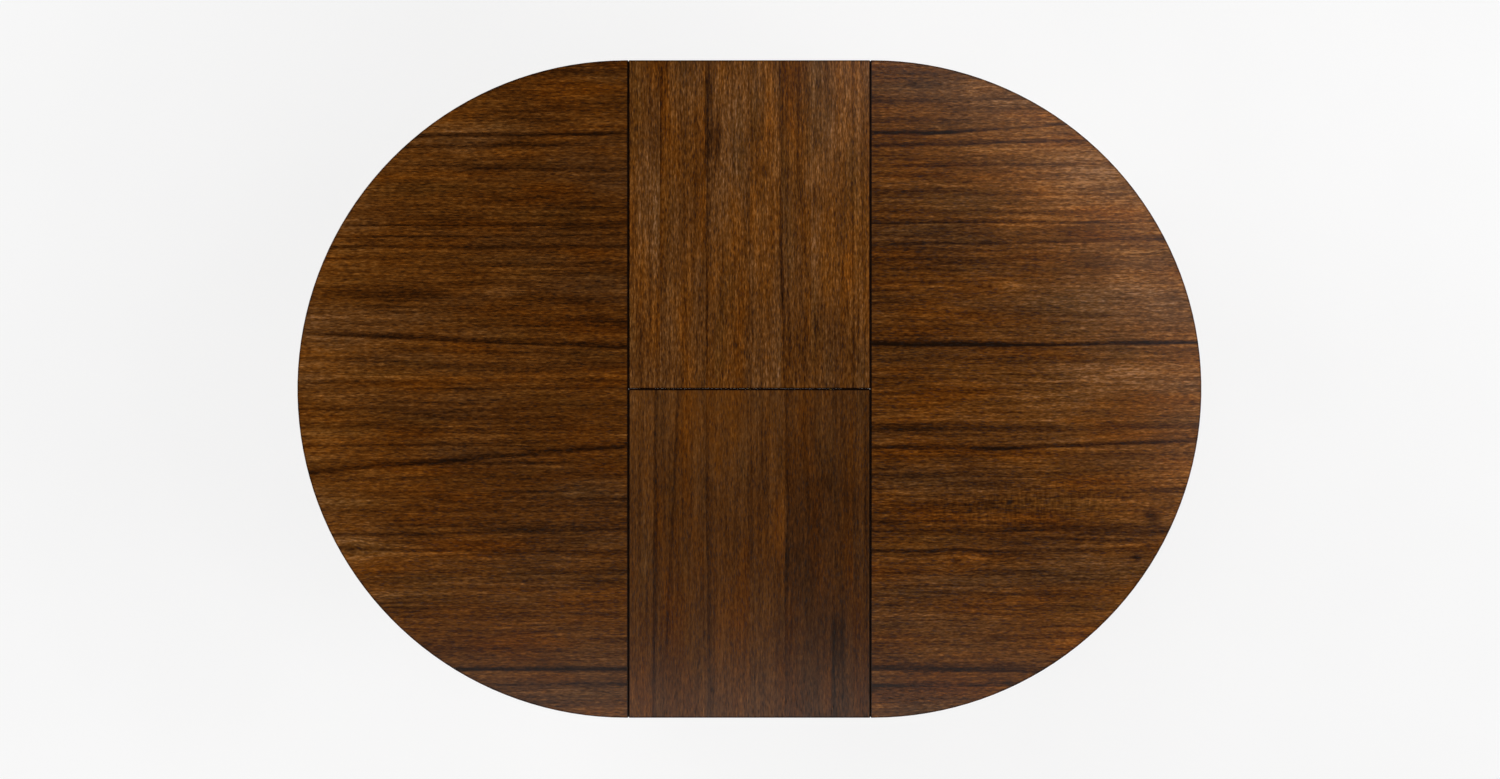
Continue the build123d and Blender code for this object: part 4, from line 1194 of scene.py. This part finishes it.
half_low, half_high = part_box("half_screws_right")
half_screw = large_screw("half_screw", half_low.z, half_high.z)
for side, sign in (("left", -1), ("right", 1)):
    rows = (-RUNNER_SCREW_Y[side], RUNNER_SCREW_Y[side])
    places = [(sign * x, y, half_low.z) for x in RUNNER_SCREW_X for y in rows]
    places += [(sign * STIFFENER_SCREW_X, y, half_low.z) for y in STIFFENER_SCREW_Y]
    screws = set_screws(f"wood_screws_{side}", half_screw, places, False, f"{side}_half")
    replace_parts(screws, f"half_screws_{side}")
bpy.data.objects.remove(half_screw)

rail_low, rail_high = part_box("rail_screws")
rail_screw = large_screw("rail_screw", rail_low.z, rail_high.z)
rail_x, rail_y = rail_high.x - HEAD_RADIUS, rail_high.y - HEAD_RADIUS
rail_places = [(sx * rail_x, sy * rail_y, rail_high.z) for sx in (-1, 1) for sy in (-1, 1)]
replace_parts(set_screws("rail_wood_screws", rail_screw, rail_places, True, "base"), "rail_screws")
bpy.data.objects.remove(rail_screw)
print("large screws:", 2 * len(places) + len(rail_places))

# %% [markdown]
# Hanger bolts hold the legs: a wood thread in the leg and a machine thread through the corner
# brace, with a washer and a nut. The end that stands out past the nut shows its thread. A real
# thread winds round, but at this size rings look the same and need far fewer faces. So the bolt is
# a cylinder whose end face is extruded again and again, drawn in and let out by turns.

# %% Hanger bolts
BOLT_SIDES = 18
BOLT_RADIUS = 0.004
BOLT_START = 0.010355
BOLT_END = 0.068655
BOLT_LEVELS = (0.6567, 0.6789)
LEG_CENTRE = (0.370, 0.408975)
THREADS = 16
THREAD_PITCH = 0.00125
THREAD_DEPTH = 0.86


def model_bolt(name):
    """A bolt along z from 0, with a thread at its far end."""
    plain = BOLT_END - BOLT_START - (THREADS + 0.5) * THREAD_PITCH
    bolt = add_cylinder(name, BOLT_SIDES, BOLT_RADIUS, 0, plain)
    bpy.ops.object.mode_set(mode="EDIT")
    bpy.ops.mesh.select_mode(type="FACE")
    pick_faces(bolt, lambda face: face.normal.z > 0.9)
    rise = THREAD_PITCH / 2
    height = plain
    for number in range(2 * THREADS + 1):
        height += rise
        size = 1 / THREAD_DEPTH if number % 2 else THREAD_DEPTH
        bpy.ops.mesh.extrude_region_move(TRANSFORM_OT_translate={"value": (0, 0, rise)})
        bpy.ops.transform.resize(value=(size, size, 1), center_override=(0, 0, height))
    bpy.ops.object.mode_set(mode="OBJECT")
    return bolt


bolt = model_bolt("bolt")
bolt_placings = []
corners = [(sx, sy) for sx in (-1, 1) for sy in (-1, 1)]
for sx, sy in corners:
    inward = Vector((-sx, -sy, 0)).normalized()
    turn = inward.to_track_quat("Z", "Y").to_euler()
    for level in BOLT_LEVELS:
        corner = Vector((sx * LEG_CENTRE[0], sy * LEG_CENTRE[1], level))
        bolt_placings.append((corner + inward * BOLT_START, turn))
bolts = set_copies("threaded_bolts", bolt, bolt_placings, zinc_steel, "base")
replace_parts(bolts, "hanger_bolts")
bpy.data.objects.remove(bolt)
print("hanger bolts:", len(bolt_placings))

# %% [markdown]
# The table stands on a plain pale floor. A product photograph has a white ground, which here comes
# from the floor's own glow, seen only by the camera and in reflections, so that it throws no more
# light on the table. The rest of the floor is lit as usual, and takes the table's soft shadow.

# %% Floor
FLOOR_HALF = 30.0
FLOOR_WHITE = 0.74
CLOUDS_ON_FLOOR = 3.0


def seen_directly(wire):
    """1 where the camera sees something, straight or in gloss or glass, and 0 in plain light."""
    paths = ("Is Camera Ray", "Is Glossy Ray", "Is Transmission Ray")
    straight, gloss, glass = [wire.node("ShaderNodeLightPath", {}, {}, path) for path in paths]
    return straight.larger(gloss.larger(glass))


select_only()
bpy.ops.mesh.primitive_plane_add(size=2 * FLOOR_HALF, location=(0, 0, cad_low.z))
floor = bpy.context.object
floor.name = "floor"

floor_material, floor_shader, floor_point = start_material("pale_floor")
floor_tree = floor_material.node_tree
noise_sockets = {"Vector": floor_point, "Scale": CLOUDS_ON_FLOOR}
faint = floor_point.node("ShaderNodeTexNoise", {}, noise_sockets).step(0.3, 0.7)
finish_material(
    floor_shader,
    {"Base Color": faint.blend(srgb(246, 246, 246), srgb(250, 250, 250))},
    {"Roughness": 0.9, "Specular IOR Level": 0.1},
)
glow = floor_point.node("ShaderNodeEmission", {}, {"Color": (1, 1, 1, 1), "Strength": 1.0})
lit = Wire(floor_tree, floor_shader.outputs[0])
glow_share = seen_directly(floor_point) * FLOOR_WHITE
mixed = floor_point.node("ShaderNodeMixShader", {}, {0: glow_share, 1: lit, 2: glow})
floor_output = floor_tree.nodes["Material Output"]
floor_tree.links.new(mixed.socket, floor_output.inputs["Surface"])
floor.data.materials.append(floor_material)
print("floor at", round(cad_low.z, 3), "m")

# %% [markdown]
# Round the table stands a studio with pale walls and a dark ceiling. A flat, lacquered top mirrors
# what is above it, so a bright ceiling would lie over the wood like a veil, and a dark one lets its
# colour show. The camera sees the walls as pure white.

# %% Studio walls
WALL_LIGHT = 0.92
CEILING_LIGHT = 0.04
CEILING_START = 0.32
CEILING_FULL = 0.62

world = bpy.data.worlds.new("studio")
world.use_nodes = True
bpy.context.scene.world = world
background = world.node_tree.nodes["Background"]
studio = Wire(world.node_tree)
heights = studio.node("ShaderNodeTexCoord", {}, {}, "Generated").parts()[2]
ceiling = heights.step(CEILING_START, CEILING_FULL)
walls = seen_directly(studio) * (1.0 - WALL_LIGHT) + WALL_LIGHT
studio_light = walls * (1.0 - ceiling) + ceiling * CEILING_LIGHT
world.node_tree.links.new(studio_light.socket, background.inputs["Strength"])
background.inputs["Color"].default_value = (1, 1, 1, 1)
print("walls at", WALL_LIGHT, "and ceiling at", CEILING_LIGHT)

# %% [markdown]
# Two large soft lamps, one on each side, give the legs and edges their form. They stand far enough
# to the side that the top doesn't mirror them to a camera above it.

# %% Softboxes
SOFTBOX_WATTS = 150
SOFTBOX_SIZE = (2.5, 2.5)
SOFTBOX_AIM = (0, 0, 0.5)
SOFTBOXES = {
    "right_softbox": (4.5, -1.4, 3.6),
    "left_softbox": (-4.2, 2.2, 3.4),
}


def add_lamp(name, place, rotation, size, watts):
    """A rectangular soft lamp."""
    lamp_data = bpy.data.lights.new(name, "AREA")
    lamp_data.shape = "RECTANGLE"
    lamp_data.size, lamp_data.size_y = size
    lamp_data.energy = watts
    lamp = bpy.data.objects.new(name, lamp_data)
    bpy.context.scene.collection.objects.link(lamp)
    lamp.location = place
    lamp.rotation_euler = rotation
    return lamp


def aimed(place, target):
    """The rotation that turns a lamp at a place towards a target."""
    return (Vector(target) - Vector(place)).to_track_quat("-Z", "Y").to_euler()


for name, place in SOFTBOXES.items():
    add_lamp(name, place, aimed(place, SOFTBOX_AIM), SOFTBOX_SIZE, SOFTBOX_WATTS)
print("softboxes:", len(SOFTBOXES))

# %% [markdown]
# On the photograph a pale sheen lies along the rim, on the front and from the right round to the
# back. It is the lacquer's blurred mirror image of a light above. So narrow strips of light hang
# over those parts of the rim, facing down, a little way in or out until the sheen has its width.

# %% Strips of light for the sheen
SHEEN_HEIGHT = 3.0
SHEEN_LIGHT = 4.7
SHEEN_WIDTH = 0.4
FRONT_LENGTH = 1.8
FRONT_INNER = 0.615
RIM_LENGTH = 0.36
# The direction of each strip from the middle of the right rim, in degrees, and how far in it begins
RIM_STRIPS = {
    "right_strip": (-5, 0.66),
    "back_right_strip": (25, 0.60),
    "back_corner_strip": (50, 0.58),
    "back_strip": (80, 0.63),
}


def sheen_strip(name, start, angle, inner, length):
    """A strip of light over the rim, facing down, in the direction of an angle from a start."""
    direction = math.radians(angle)
    outward = Vector((math.cos(direction), math.sin(direction), 0))
    place = Vector((*start, SHEEN_HEIGHT)) + outward * (inner + SHEEN_WIDTH / 2)
    watts = SHEEN_LIGHT * math.pi * length * SHEEN_WIDTH
    rotation = (0, 0, math.radians(angle + 90))
    return add_lamp(name, place, rotation, (length, SHEEN_WIDTH), watts)


sheen_strip("front_strip", (0, 0), -90, FRONT_INNER, FRONT_LENGTH)
for name, (angle, inner) in RIM_STRIPS.items():
    sheen_strip(name, (RIM_CENTRE, 0), angle, inner, RIM_LENGTH)
print("strips of light:", 1 + len(RIM_STRIPS))
